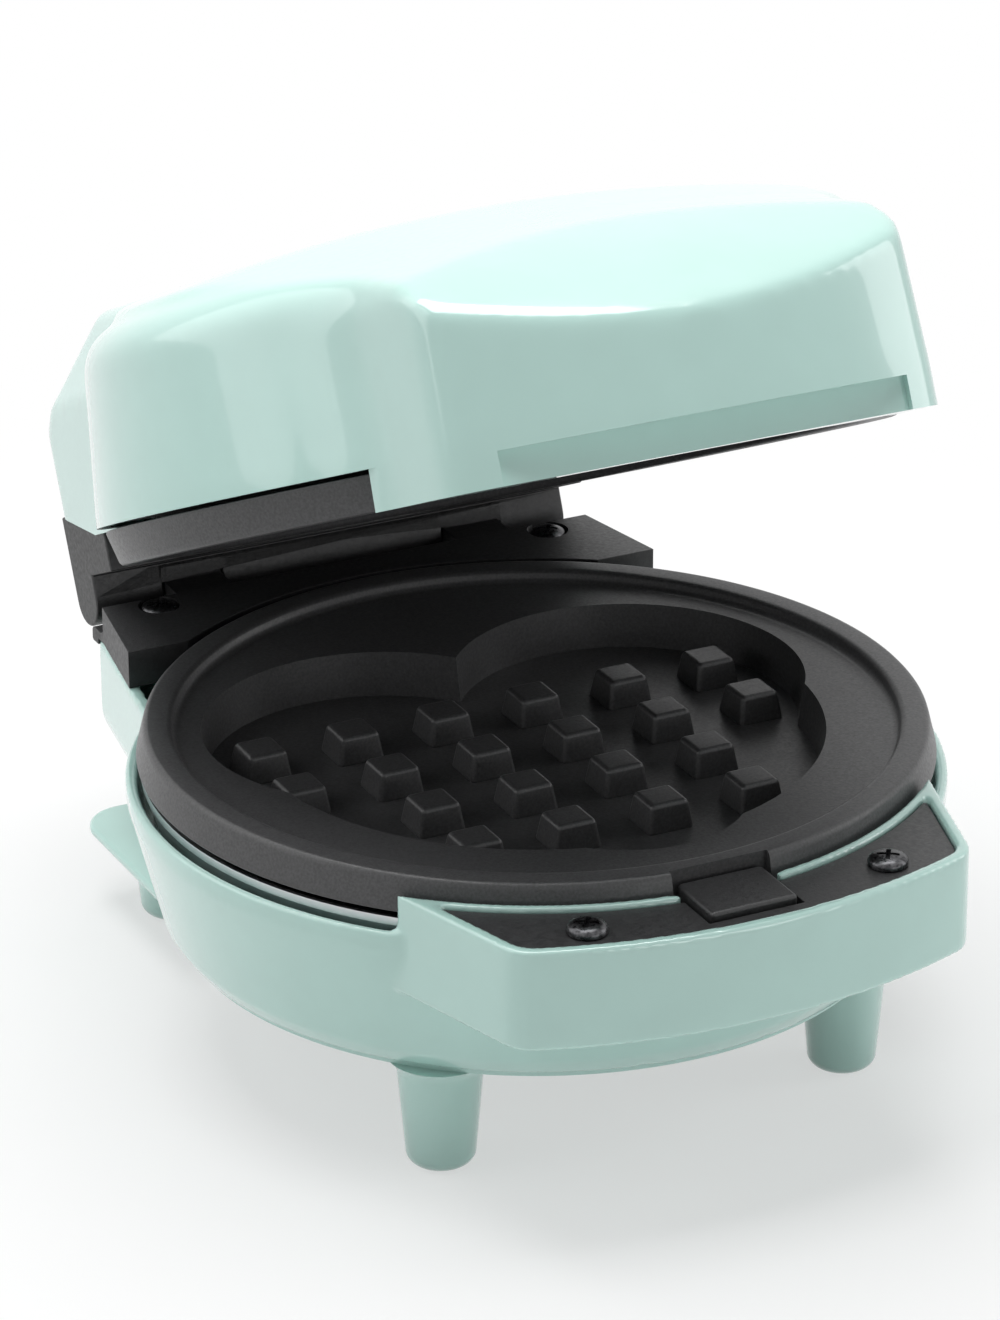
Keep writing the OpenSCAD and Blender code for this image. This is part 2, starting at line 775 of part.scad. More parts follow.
module cord_gland() {
    color(black) on_table() translate([0, rear_box_y, gland_z]) rotate([-90, 0, 0]) difference() {
        union() {
            translate([0, 0, -wall - gland_tail]) cylinder(r = gland_r - 0.05, h = wall + gland_tail);
            cylinder(r = gland_r + 1.8, h = 2);
            translate([0, 0, 2]) cylinder(r1 = gland_r, r2 = gland_r - 1, h = gland_len - 2);
            for (i = [0 : 2]) translate([0, 0, 4 + 2.8 * i]) cylinder(r = gland_r + 0.3 - 0.2 * i, h = 1.3);
        }
        translate([0, 0, -wall - gland_tail - 1])
            cylinder(r = gland_bore_r, h = wall + gland_tail + gland_len + 2);
    }
}

// ---------- lid, drawn shut ----------

module nose_plan(inset = 0) {
    lip_plan(nose_rear_x, nose_front_x, nose_reach, inset);
}

// Everything under the top. Its rear is swept about a low axis, which crowns it from left to right, and a
// straight brow falls to the front.
module lid_roof(inset = 0) {
    sweep_z = lid_top_z - crown_r;
    brow_z = lid_top_z - brow_r + brow_lift;
    intersection() {
        translate([0, 0, sweep_z]) rotate([90, 0, 0]) rotate([0, 0, 65])
            rotate_extrude(angle = 50, $fn = 360) polygon([
                [0.6 * crown_r, inset - lid_rear_y],
                [back_slope_foot_z - inset / 2 - sweep_z, inset - lid_rear_y],
                [back_slope_top_z - inset - sweep_z, inset / 2 - back_slope_top_y],
                [crown_r - inset, -brow_y],
                [crown_r - inset - forehead_slope * (nose_reach + 20 + brow_y), nose_reach + 20],
                [0.6 * crown_r, nose_reach + 20]
            ]);
        along_x(-lid_draw_z, lid_draw_z) polygon(concat(
            [[lid_rear_y + 1, 0], [lid_rear_y + 1, lid_draw_z], [brow_y, lid_draw_z]],
            arc([brow_y, brow_z], brow_r - inset, 90, brow_end, 20),
            [[-nose_reach - 20, 0]]
        ));
    }
}

module lid_side(inset = 0, drop = 0) {
    turn_x = lid_shoulder_r - lid_round_r;
    rotate_extrude() polygon(concat(
        [[0, lid_skirt_z - drop], [lid_skirt_r - inset, lid_skirt_z - drop]],
        [[lid_skirt_r - inset, lid_skirt_z]],
        arc([turn_x, lid_shoulder_z], lid_round_r - inset, 0, 90, 8),
        [[turn_x - 12, lid_shoulder_z + lid_round_r + 5], [0, lid_draw_z]]
    ));
}

module lid_nose(inset, foot_z) {
    hull() {
        translate([0, 0, foot_z]) linear_extrude(0.1) nose_plan(inset);
        translate([0, 0, lid_draw_z]) linear_extrude(0.1) nose_plan(inset + nose_draft);
    }
}

module rear_outline(draw) {
    flare_x = hinge_half_w + rear_flare - draw;
    polygon([
        [-hinge_half_w + draw, lid_rear_y + 1], [hinge_half_w - draw, lid_rear_y + 1],
        [flare_x, rear_flare_y], [flare_x, brow_y], [-flare_x, brow_y], [-flare_x, rear_flare_y]
    ]);
}

module lid_rear(inset, foot_z) {
    translate([0, 0, foot_z]) linear_extrude(lid_upright_z - foot_z) rear_outline(inset);
    hull() {
        translate([0, 0, lid_upright_z - 0.1]) linear_extrude(0.1) rear_outline(inset);
        translate([0, 0, lid_draw_z]) linear_extrude(0.1) rear_outline(inset + lid_rear_draw);
    }
}

module upper_housing() {
    color(mint) on_lid() difference() {
        union() {
            difference() {
                intersection() {
                    union() {
                        lid_side();
                        lid_nose(0, nose_foot_z);
                        lid_rear(0, lid_skirt_z);
                    }
                    lid_roof();
                    // The nose alone reaches below the skirt
                    union() {
                        translate([-100, -100, lid_skirt_z]) cube([200, 220, lid_draw_z - lid_skirt_z]);
                        translate([-100, nose_step_y - 43, 0]) cube([200, 43, lid_draw_z]);
                    }
                }
                intersection() {
                    union() {
                        lid_side(lid_wall, 1);
                        lid_nose(lid_wall, nose_foot_z + recess_h + lid_wall);
                        intersection() {
                            lid_nose(lid_wall, nose_foot_z + lid_wall);
                            translate([-100, -nose_reach + recess_depth + lid_wall, 0])
                                cube([200, 60, lid_draw_z]);
                        }
                        lid_rear(lid_wall, lid_skirt_z - 1);
                    }
                    lid_roof(lid_wall);
                }
            }
            // Posts and lugs that take the screws
            intersection() {
                union() {
                    screw_circle() lug(upper_brim_z + reflector_depth, lug_t);
                    both_sides() translate([block_screw_x, block_screw_y, lid_skirt_z])
                        cylinder(r = post_r, h = lid_draw_z - lid_skirt_z);
                }
                lid_roof(lid_wall / 2);
                union() {
                    lid_side(lid_wall / 2);
                    lid_rear(lid_wall / 2, lid_skirt_z);
                    lid_nose(lid_wall / 2, nose_foot_z);
                }
            }
        }
        // Opening for the plate in the nose's underside
        translate([0, 0, nose_foot_z - 1])
            cylinder(r = skirt_r + plate_air, h = lid_skirt_z - nose_foot_z + 1);
        screw_circle() translate([0, 0, upper_brim_z + reflector_depth - 1])
            cylinder(r = hole_r, h = lug_t + 2);
        both_sides() screw_bore(block_screw_x, block_screw_y, lid_skirt_z - 1, lid_skirt_z + 2 * thread_len);
        // Finger recess under the front edge
        translate([-recess_half_w, -nose_reach - 10, nose_foot_z - 1])
            cube([2 * recess_half_w, 10 + recess_depth, recess_h + 1]);
        // Seat for the hinge block
        along_x(-lid_skirt_r, lid_skirt_r) polygon([
            [block_slab_y - fit_gap, lid_skirt_z - 5], [lid_rear_y + 2, lid_skirt_z - 5],
            [lid_rear_y + 2, mint_rear_z], [lid_rear_y, mint_rear_z],
            [block_slab_y - fit_gap, lid_skirt_z + 0.1]
        ]);
    }
}

module hinge_block() {
    color(black) on_lid() difference() {
        union() {
            // Barrel and upright
            along_x(-hinge_half_w, hinge_half_w) {
                translate([hinge_y, hinge_z]) circle(r = lid_rear_y - hinge_y);
                polygon([
                    [block_front_y, hinge_z], [lid_rear_y, hinge_z],
                    [lid_rear_y, upper_parting_z + 1], [block_front_y, upper_parting_z + 1]
                ]);
            }
            // Slab under the lid
            intersection() {
                along_x(-block_slab_half_w, block_slab_half_w) polygon([
                    [block_slab_y, upper_parting_z], [lid_rear_y, upper_parting_z],
                    [lid_rear_y, mint_rear_z], [block_slab_y, lid_skirt_z + 0.1]
                ]);
                translate([0, 0, upper_parting_z]) linear_extrude(mint_rear_z - upper_parting_z) polygon([
                    [-hinge_half_w, lid_rear_y], [hinge_half_w, lid_rear_y],
                    [block_slab_half_w, block_slab_y], [-block_slab_half_w, block_slab_y]
                ]);
            }
        }
        both_sides() {
            along_x(knuckle_x - knuckle_w / 2 - knuckle_gap, knuckle_x + knuckle_w / 2 + knuckle_gap) {
                translate([hinge_y, hinge_z]) circle(r = knuckle_r + knuckle_gap);
                translate([block_front_y - 20, hinge_z - 20]) square([40, 20]);
                translate([block_front_y - 20, hinge_z - 20])
                    square([20 + hinge_y - block_front_y, 21.8 + knuckle_rise]);
            }
            screw_bore(block_screw_x, block_screw_y, upper_parting_z - 1, mint_rear_z + 1);
            translate([block_screw_x, block_screw_y, upper_parting_z - 1])
                cylinder(r = head_r + head_play, h = 1 + head_h + head_play);
        }
        along_x(-hinge_half_w + pin_end_gap - 0.5, hinge_half_w - pin_end_gap + 0.5)
            translate([hinge_y, hinge_z]) circle(r = pin_r + pin_play);
        // Air gap around the plate
        cylinder(r = skirt_r + plate_air, h = lid_draw_z);
    }
}

module hinge_block_screws() {
    color(steel) on_lid() both_sides()
        translate([block_screw_x, block_screw_y, upper_parting_z + head_h + head_play])
            rotate([180, 0, 0]) screw(18);
}

module upper_plate() {
    color(coated) on_lid() translate([0, 0, upper_parting_z]) mirror([0, 0, 1]) plate();
}

module upper_reflector() {
    color(alloy) on_lid() translate([0, 0, upper_brim_z]) mirror([0, 0, 1])
        reflector(lid_skirt_r - lid_wall - 1.4, element_holes);
}

module upper_heating_element() {
    color(steel) on_lid() translate([0, 0, upper_back_z]) mirror([0, 0, 1]) element();
}

module upper_element_clamp() {
    color(steel) on_lid() translate([0, 0, upper_back_z]) mirror([0, 0, 1]) clamp();
}

module upper_clamp_screw() {
    color(steel) on_lid() translate([0, 0, upper_back_z]) mirror([0, 0, 1]) clamp_screw();
}

module upper_plate_screws() {
    color(steel) on_lid() screw_circle()
        translate([0, 0, upper_brim_z + reflector_depth + lug_t]) screw(lug_t + thread_len);
}

module upper_leads() {
    pin_z = upper_back_z + element_tube_r + element_end_h + element_pin_h;
    color(lead_sleeve) on_lid() both_sides() run([
        [element_end_x, element_end_y, pin_z], [element_end_x, element_end_y, pin_z + 3],
        [16, 70, pin_z + 2], [12, 84, pin_z - 4], [11, 86, lid_skirt_z + 5]
    ], lead_r);
}

lower_housing();
bottom_cover();
cord_wrap();
hinge_bar();
front_deck();
plate_locator();
deck_screws();
hinge_bar_screws();
bottom_cover_screws();
cord_wrap_screws();
hinge_pin();
lower_plate();
lower_reflector();
lower_heating_element();
lower_element_clamp();
lower_clamp_screw();
lower_plate_screws();
thermostat();
thermal_fuse();
terminal_block();
lower_leads();
cord_gland();
upper_housing();
hinge_block();
hinge_block_screws();
upper_plate();
upper_reflector();
upper_heating_element();
upper_element_clamp();
upper_clamp_screw();
upper_plate_screws();
upper_leads();
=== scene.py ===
"""A compact heart waffle maker: smooth moulded shells, cast plates, screws, materials and a plain studio."""

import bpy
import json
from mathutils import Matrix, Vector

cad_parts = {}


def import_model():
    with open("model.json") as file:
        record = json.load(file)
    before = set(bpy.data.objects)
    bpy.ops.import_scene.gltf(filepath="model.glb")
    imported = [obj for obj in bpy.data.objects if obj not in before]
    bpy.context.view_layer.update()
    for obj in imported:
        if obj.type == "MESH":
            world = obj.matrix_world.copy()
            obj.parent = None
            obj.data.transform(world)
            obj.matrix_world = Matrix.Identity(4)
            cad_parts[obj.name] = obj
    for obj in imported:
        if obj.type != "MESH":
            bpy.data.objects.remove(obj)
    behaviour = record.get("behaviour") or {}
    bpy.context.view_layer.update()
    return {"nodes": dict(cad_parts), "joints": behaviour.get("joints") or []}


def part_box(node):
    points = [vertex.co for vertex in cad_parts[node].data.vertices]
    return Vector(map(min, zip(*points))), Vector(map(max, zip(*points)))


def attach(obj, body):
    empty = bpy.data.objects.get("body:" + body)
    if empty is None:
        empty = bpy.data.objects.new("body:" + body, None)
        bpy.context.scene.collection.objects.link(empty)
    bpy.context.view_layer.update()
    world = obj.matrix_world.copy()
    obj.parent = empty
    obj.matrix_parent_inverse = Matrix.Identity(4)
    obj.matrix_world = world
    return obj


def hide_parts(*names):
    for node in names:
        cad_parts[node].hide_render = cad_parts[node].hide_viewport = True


bl_info = {
    "name": "Heart Waffle Maker",
    "version": (1, 0, 0),
    "blender": (4, 5, 0),
    "location": "View3D > Sidebar > Waffle Maker",
    "description": "Models a compact heart waffle maker around its packed frame",
    "category": "Object",
}

import json
import math

import bmesh
import bpy
from bpy.props import FloatProperty, FloatVectorProperty, PointerProperty
from mathutils import Matrix, Vector

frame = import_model()

# ---------------------------------------------------------------- places taken from the frame

MM = 0.001
HINGE = Vector(frame["joints"][0]["pos_m"]) / MM
OPEN_ANGLE = 25.0
# Sizes below are millimetres from the centre of the lower plate, with the lid shut.
HINGE_Y = 93.5
HINGE_Z = HINGE.z
SHIFT_Y = HINGE.y - HINGE_Y
RIM_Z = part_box("lower_plate")[1].z / MM
RIM_GAP = 0.6
# How far in the slanted sides of the handle and the nose start, and the run over which they slant.
LIP_ROOT_Y = -42.0
LIP_SIDE_RUN = 24.0


def srgb(code):
    """A hex colour as linear red, green, blue and alpha."""
    parts = [int(code[i:i + 2], 16) / 255 for i in (1, 3, 5)]
    return tuple(p / 12.92 if p <= 0.04045 else ((p + 0.055) / 1.055) ** 2.4 for p in parts) + (1.0,)


# ---------------------------------------------------------------- settings


class WaffleSizes(bpy.types.PropertyGroup):
    """Sizes of the moulded and cast pieces."""

    wall: FloatProperty(name="Wall", description="Thickness of the moulded shells",
                        default=2.4 * MM, unit="LENGTH")
    lid_round: FloatProperty(name="Lid rounding", default=1.0 * MM, unit="LENGTH",
                             description="Voxel that sets how soft the lid's edges are")
    base_round: FloatProperty(name="Base rounding", default=0.6 * MM, unit="LENGTH",
                              description="Voxel that sets how soft the base's edges are")
    heart_lip: FloatProperty(name="Heart lip", description="Radius of the rounded lip round the heart",
                             default=1.6 * MM, unit="LENGTH")


class WaffleColours(bpy.types.PropertyGroup):
    """Colours of the finishes, linear."""

    mint: FloatVectorProperty(name="Mint", description="Colour of the glossy shells", subtype="COLOR",
                              size=4, min=0, max=1, default=srgb("#B6DAD2"))
    black: FloatVectorProperty(name="Black", description="Colour of the textured plastic", subtype="COLOR",
                               size=4, min=0, max=1, default=srgb("#2B2B2C"))
    coating: FloatVectorProperty(name="Coating", description="Colour of the non-stick coating",
                                 subtype="COLOR", size=4, min=0, max=1, default=srgb("#464647"))


# ---------------------------------------------------------------- modelling helpers


def pick_only(piece):
    bpy.ops.object.select_all(action="DESELECT")
    piece.select_set(True)
    bpy.context.view_layer.objects.active = piece


def from_points(name, points, edges=(), faces=()):
    """A mesh object from points in millimetres."""
    mesh = bpy.data.meshes.new(name)
    mesh.from_pydata([Vector(p) * MM for p in points], edges, faces)
    piece = bpy.data.objects.new(name, mesh)
    bpy.context.scene.collection.objects.link(piece)
    pick_only(piece)
    return piece


def outward():
    """Points every face of the selected mesh outwards, in edit mode."""
    bpy.ops.mesh.select_all(action="SELECT")
    bpy.ops.mesh.remove_doubles(threshold=0.002 * MM)
    bpy.ops.mesh.normals_make_consistent(inside=False)


def spun(name, profile, steps=180):
    """A solid of revolution about Z from (radius, height) points."""
    points = [(r, 0, z) for r, z in profile]
    piece = from_points(name, points, [(i, i + 1) for i in range(len(points) - 1)])
    bpy.ops.object.mode_set(mode="EDIT")
    bpy.ops.mesh.select_all(action="SELECT")
    bpy.ops.mesh.spin(steps=steps, angle=2 * math.pi, center=(0, 0, 0), axis=(0, 0, 1))
    outward()
    bpy.ops.object.mode_set(mode="OBJECT")
    return piece


def prism(name, outline, low, high, narrow=(1, 1), centre=(0, 0)):
    """A plan outline drawn up from low to high, with its top narrowed about a centre."""
    piece = from_points(name, [(x, y, low) for x, y in outline], faces=[range(len(outline))])
    bpy.ops.object.mode_set(mode="EDIT")
    bpy.ops.mesh.select_all(action="SELECT")
    bpy.ops.mesh.extrude_region_move(TRANSFORM_OT_translate={"value": (0, 0, (high - low) * MM)})
    bpy.ops.transform.resize(value=(narrow[0], narrow[1], 1),
                             center_override=(centre[0] * MM, centre[1] * MM, high * MM))
    outward()
    bpy.ops.object.mode_set(mode="OBJECT")
    return piece


def bar_along_x(name, outline, left, right):
    """A side outline of (y, z) points drawn from left to right."""
    piece = from_points(name, [(left, y, z) for y, z in outline], faces=[range(len(outline))])
    bpy.ops.object.mode_set(mode="EDIT")
    bpy.ops.mesh.select_all(action="SELECT")
    bpy.ops.mesh.extrude_region_move(TRANSFORM_OT_translate={"value": ((right - left) * MM, 0, 0)})
    outward()
    bpy.ops.object.mode_set(mode="OBJECT")
    return piece


def block(name, low, high):
    """A box between two corners."""
    size = [h - l for l, h in zip(low, high)]
    middle = [(l + h) / 2 * MM for l, h in zip(low, high)]
    bpy.ops.mesh.primitive_cube_add(size=MM, location=middle)
    piece = bpy.context.object
    piece.name = name
    piece.scale = size
    bpy.ops.object.transform_apply(location=True, rotation=True, scale=True)
    return piece


def drum(name, centre, low, high, radius, top_radius=None, vertices=96):
    """An upright cylinder or cone between two heights."""
    bpy.ops.mesh.primitive_cone_add(
        vertices=vertices, radius1=radius * MM, radius2=(radius if top_radius is None else top_radius) * MM,
        depth=(high - low) * MM, location=(centre[0] * MM, centre[1] * MM, (low + high) / 2 * MM))
    piece = bpy.context.object
    piece.name = name
    bpy.ops.object.transform_apply(location=True, rotation=True, scale=True)
    return piece


def modify(piece, kind, **settings):
    """Adds a modifier and applies it."""
    pick_only(piece)
    modifier = piece.modifiers.new(kind.title(), kind)
    for key, value in settings.items():
        setattr(modifier, key, value)
    bpy.ops.object.modifier_apply(modifier=modifier.name)


def combine(piece, tool, operation):
    """A boolean of two closed solids. The tool is used up."""
    modify(piece, "BOOLEAN", object=tool, operation=operation, solver="EXACT")
    bpy.data.objects.remove(tool)
    return piece


def add(piece, *tools):
    for tool in tools:
        combine(piece, tool, "UNION")
    return piece


def take(piece, *tools):
    for tool in tools:
        combine(piece, tool, "DIFFERENCE")
    return piece


def soften(piece, voxel, passes):
    """Rounds every edge and blends every corner, as a mould's radii do."""
    modify(piece, "REMESH", mode="VOXEL", voxel_size=voxel)
    modify(piece, "SMOOTH", factor=0.5, iterations=passes)
    return piece


def round_edges(piece, width, segments=3, angle=35):
    """Bevels the edges that are sharper than an angle."""
    modify(piece, "BEVEL", width=width * MM, segments=segments, limit_method="ANGLE",
           angle_limit=math.radians(angle), harden_normals=False, use_clamp_overlap=True)
    return piece


def bevel_where(piece, wanted, width, segments=4):
    """Bevels the edges that a test picks by their two ends, in millimetres."""
    pick_only(piece)
    bpy.ops.object.mode_set(mode="EDIT")
    bpy.ops.mesh.select_mode(type="EDGE")
    bpy.ops.mesh.select_all(action="DESELECT")
    work = bmesh.from_edit_mesh(piece.data)
    for edge in work.edges:
        a, b = edge.verts[0].co / MM, edge.verts[1].co / MM
        edge.select_set(bool(wanted(a, b)))
    work.select_flush_mode()
    bmesh.update_edit_mesh(piece.data)
    bpy.ops.mesh.bevel(offset=width * MM, segments=segments, affect="EDGES", clamp_overlap=True)
    bpy.ops.object.mode_set(mode="OBJECT")
    return piece


def join(name, *pieces):
    bpy.ops.object.select_all(action="DESELECT")
    for piece in pieces:
        piece.select_set(True)
    bpy.context.view_layer.objects.active = pieces[0]
    bpy.ops.object.join()
    pieces[0].name = name
    return pieces[0]


def copied(piece, offset):
    """A copy with its own mesh, moved by an offset in millimetres."""
    twin = piece.copy()
    twin.data = piece.data.copy()
    bpy.context.scene.collection.objects.link(twin)
    twin.data.transform(Matrix.Translation(Vector(offset) * MM))
    return twin


def settle(piece, name, body, material, replaces=(), smooth=35, weighted=True):
    """Puts a finished piece in its place, opens it with the lid, and dresses it."""
    piece.name = name
    piece.data.name = name
    place = Matrix.Translation(Vector((0, SHIFT_Y, 0)) * MM)
    if body == "lid":
        pivot = Matrix.Translation(Vector((0, HINGE_Y, HINGE_Z)) * MM)
        place = place @ pivot @ Matrix.Rotation(math.radians(-OPEN_ANGLE), 4, "X") @ pivot.inverted()
    piece.matrix_world = place
    pick_only(piece)
    bpy.ops.object.transform_apply(location=True, rotation=True, scale=True)
    bpy.ops.object.shade_smooth_by_angle(angle=math.radians(smooth))
    if weighted:
        modify(piece, "WEIGHTED_NORMAL", keep_sharp=True, weight=60)
    piece.data.materials.clear()
    piece.data.materials.append(material)
    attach(piece, body)
    if replaces:
        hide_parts(*replaces)
    return piece


def arc(centre, radius, start, end, steps):
    """Points on an arc, from one angle to another in degrees."""
    angles = [math.radians(start + (end - start) * i / steps) for i in range(steps + 1)]
    return [(centre[0] + radius * math.cos(a), centre[1] + radius * math.sin(a)) for a in angles]


def lip_outline(rear_x, front_x, reach, inset=0.0, root_y=LIP_ROOT_Y, front_r=118.0, corner_r=7.0):
    """The plan of a lip in front of the plates: curved front, round corners, slanted sides."""
    arc_y = front_r - reach
    corner_x = front_x - corner_r
    corner_y = arc_y - math.sqrt((front_r - corner_r) ** 2 - corner_x ** 2)
    lean = math.degrees(math.atan2(rear_x - front_x, LIP_SIDE_RUN))
    meet = math.degrees(math.atan2(corner_y - arc_y, corner_x))
    r = corner_r - inset
    side_x = corner_x + r * math.cos(math.radians(lean))
    side_y = corner_y - r * math.sin(math.radians(lean))
    root_x = side_x + (root_y - side_y) * math.tan(math.radians(lean))
    return ([(root_x, root_y)]
            + arc((corner_x, corner_y), r, -lean, meet, 10)
            + arc((0, arc_y), front_r - inset, meet, -180 - meet, 40)[1:-1]
            + arc((-corner_x, corner_y), r, -180 - meet, -180 + lean, 10)
            + [(-root_x, root_y)])


# ---------------------------------------------------------------- materials


def node(tree, kind, links=(), **settings):
    """Adds a shader node, sets it and links its inputs."""
    made = tree.nodes.new(kind)
    for key, value in settings.items():
        if key in made.inputs:
            made.inputs[key].default_value = value
        else:
            setattr(made, key, value)
    for socket, source in links:
        tree.links.new(source, made.inputs[socket])
    return made


def start_material(name, colour, roughness, **settings):
    """A material with its shader, and the mesh's own coordinates in metres."""
    material = bpy.data.materials.new(name)
    material.use_nodes = True
    tree = material.node_tree
    shader = tree.nodes["Principled BSDF"]
    shader.inputs["Base Color"].default_value = colour
    shader.inputs["Roughness"].default_value = roughness
    for key, value in settings.items():
        shader.inputs[key.replace("_", " ")].default_value = value
    place = node(tree, "ShaderNodeTexCoord").outputs["Object"]
    return material, tree, shader, place


def grain(tree, place, size_mm, detail=2.0):
    """Noise whose spots are about one size, in millimetres."""
    return node(tree, "ShaderNodeTexNoise", [("Vector", place)], Scale=1 / (size_mm * MM), Detail=detail,
                Roughness=0.55).outputs["Fac"]


def bump(tree, shader, height, depth_mm):
    """Relief of a depth in millimetres."""
    made = node(tree, "ShaderNodeBump", [("Height", height)], Strength=1.0, Distance=depth_mm * MM)
    tree.links.new(made.outputs["Normal"], shader.inputs["Normal"])


def spread(tree, source, low, high):
    """Maps noise to a range."""
    return node(tree, "ShaderNodeMapRange", [("Value", source)], **{
        "From Min": 0.3, "From Max": 0.7, "To Min": low, "To Max": high}).outputs["Result"]


def tint(tree, shader, source, first, second):
    """Varies the colour a little between two shades."""
    ramp = node(tree, "ShaderNodeValToRGB", [("Fac", source)])
    ramp.color_ramp.elements[0].position = 0.35
    ramp.color_ramp.elements[0].color = first
    ramp.color_ramp.elements[1].position = 0.65
    ramp.color_ramp.elements[1].color = second
    tree.links.new(ramp.outputs["Color"], shader.inputs["Base Color"])


def shade(colour, factor):
    return tuple(c * factor for c in colour[:3]) + (1.0,)


MATERIALS = {}


def moulded_abs(colour):
    # Gloss ABS from a polished mould: even colour, sharp highlights with a faint waviness.
    material, tree, shader, place = start_material("moulded_gloss_abs", colour, 0.2, IOR=1.53, **{
        "Coat Weight": 0.8, "Coat Roughness": 0.04, "Coat IOR": 1.5})
    tint(tree, shader, grain(tree, place, 14), shade(colour, 0.985), shade(colour, 1.01))
    tree.links.new(spread(tree, grain(tree, place, 1.2, 4), 0.17, 0.24), shader.inputs["Roughness"])
    bump(tree, shader, grain(tree, place, 9), 0.012)
    return material


def spark_textured_nylon(colour):
    # Glass-filled nylon from a spark-eroded mould: fine grain that scatters the highlights.
    material, tree, shader, place = start_material("spark_textured_nylon", colour, 0.5, IOR=1.52)
    tint(tree, shader, grain(tree, place, 0.7, 3), shade(colour, 0.85), shade(colour, 1.2))
    tree.links.new(spread(tree, grain(tree, place, 0.9, 3), 0.38, 0.55), shader.inputs["Roughness"])
    bump(tree, shader, grain(tree, place, 0.55, 3), 0.035)
    return material


def non_stick_coating(colour):
    # Sprayed non-stick coating on die-cast aluminium: satin, with a fine dry-spray speckle.
    material, tree, shader, place = start_material("non_stick_coating", colour, 0.42, IOR=1.45)
    tint(tree, shader, grain(tree, place, 0.5, 4), shade(colour, 0.8), shade(colour, 1.25))
    tree.links.new(spread(tree, grain(tree, place, 0.6, 4), 0.32, 0.48), shader.inputs["Roughness"])
    bump(tree, shader, grain(tree, place, 0.6, 4), 0.03)
    return material


def spun_aluminium():
    # Spun aluminium sheet: fine turning rings about the plate's axis.
    material, tree, shader, place = start_material("spun_aluminium", srgb("#C9CACC"), 0.35, Metallic=1.0)
    centred = node(tree, "ShaderNodeMapping", [("Vector", place)], Location=(0, -SHIFT_Y * MM, 0))
    rings = node(tree, "ShaderNodeTexWave", [("Vector", centred.outputs["Vector"])], wave_type="RINGS",
                 rings_direction="Z", Scale=1 / (4.0 * MM) / 10, Distortion=1.5).outputs["Fac"]
    tree.links.new(spread(tree, rings, 0.28, 0.42), shader.inputs["Roughness"])
    bump(tree, shader, rings, 0.01)
    return material


def blackened_steel():
    # Black-oxide screw steel: dark metal with rubbed, lighter spots.
    material, tree, shader, place = start_material("blackened_screw_steel", srgb("#4A4A4C"), 0.3,
                                                   Metallic=1.0)
    spots = grain(tree, place, 0.8, 4)
    tint(tree, shader, spots, srgb("#39393B"), srgb("#5C5C5E"))
    tree.links.new(spread(tree, spots, 0.22, 0.4), shader.inputs["Roughness"])
    bump(tree, shader, spots, 0.02)
    return material


def zinc_steel():
    # Zinc-plated steel: bright, slightly clouded.
    material, tree, shader, place = start_material("zinc_plated_steel", srgb("#B4B6B8"), 0.35, Metallic=1.0)
    clouds = grain(tree, place, 2.5, 4)
    tint(tree, shader, clouds, srgb("#A6A8AB"), srgb("#C0C2C4"))
    tree.links.new(spread(tree, clouds, 0.28, 0.45), shader.inputs["Roughness"])
    return material


def steatite_ceramic():
    # Unglazed steatite: off-white and dry, with a slight grain.
    material, tree, shader, place = start_material("unglazed_steatite", srgb("#E6E1D2"), 0.7)
    tint(tree, shader, grain(tree, place, 1.5, 3), srgb("#DED8C8"), srgb("#ECE8DC"))
    bump(tree, shader, grain(tree, place, 0.4, 3), 0.03)
    return material


def woven_sleeve():
    # Woven glass-fibre sleeve over a lead: a diagonal braid about 0.8 mm apart.
    material, tree, shader, place = start_material("woven_glass_sleeve", srgb("#E2DDCB"), 0.8)
    braid = node(tree, "ShaderNodeTexWave", [("Vector", place)], bands_direction="DIAGONAL",
                 Scale=1 / (0.8 * MM) / 10, Distortion=0.5).outputs["Fac"]
    tint(tree, shader, braid, srgb("#CFC9B4"), srgb("#EDE9DA"))
    bump(tree, shader, braid, 0.08)
    return material


def make_materials(colours):
    MATERIALS.update(
        mint=moulded_abs(tuple(colours.mint)),
        black=spark_textured_nylon(tuple(colours.black)),
        coating=non_stick_coating(tuple(colours.coating)),
        aluminium=spun_aluminium(),
        screw=blackened_steel(),
        zinc=zinc_steel(),
        ceramic=steatite_ceramic(),
        sleeve=woven_sleeve(),
    )


# ---------------------------------------------------------------- lid

LID_SKIRT_Z = 69.7
LID_SKIRT_R = 75.0
LID_SHOULDER_R = 71.9
LID_SHOULDER_Z = 96.5
LID_TURN_R = 9.0
LID_TOP_Z = 113.2
CROWN_R = 322.0
BROW_Y, BROW_R = -19.5, 108.0
FOREHEAD = [(-12, 113.3), (-17, 113.1), (-22, 112.5), (-47.5, 107.2), (-73, 102.3), (-112, 93.0)]
BROW_END_ANGLE = 142
ROOF_LOW_Z = 20
ROOF_HALF_SWEEP = 22
ROOF_STEPS = 60
BACK_TOP = (71.0, 114.2)
BACK_FOOT_Z = 96.5
LID_REAR_Y = 98.7
LID_UPRIGHT_Z = 95.0
LID_DRAW_LOW_Z = 52.0
LID_DRAW_Z = 124.0
LID_SMOOTH_PASSES = 24
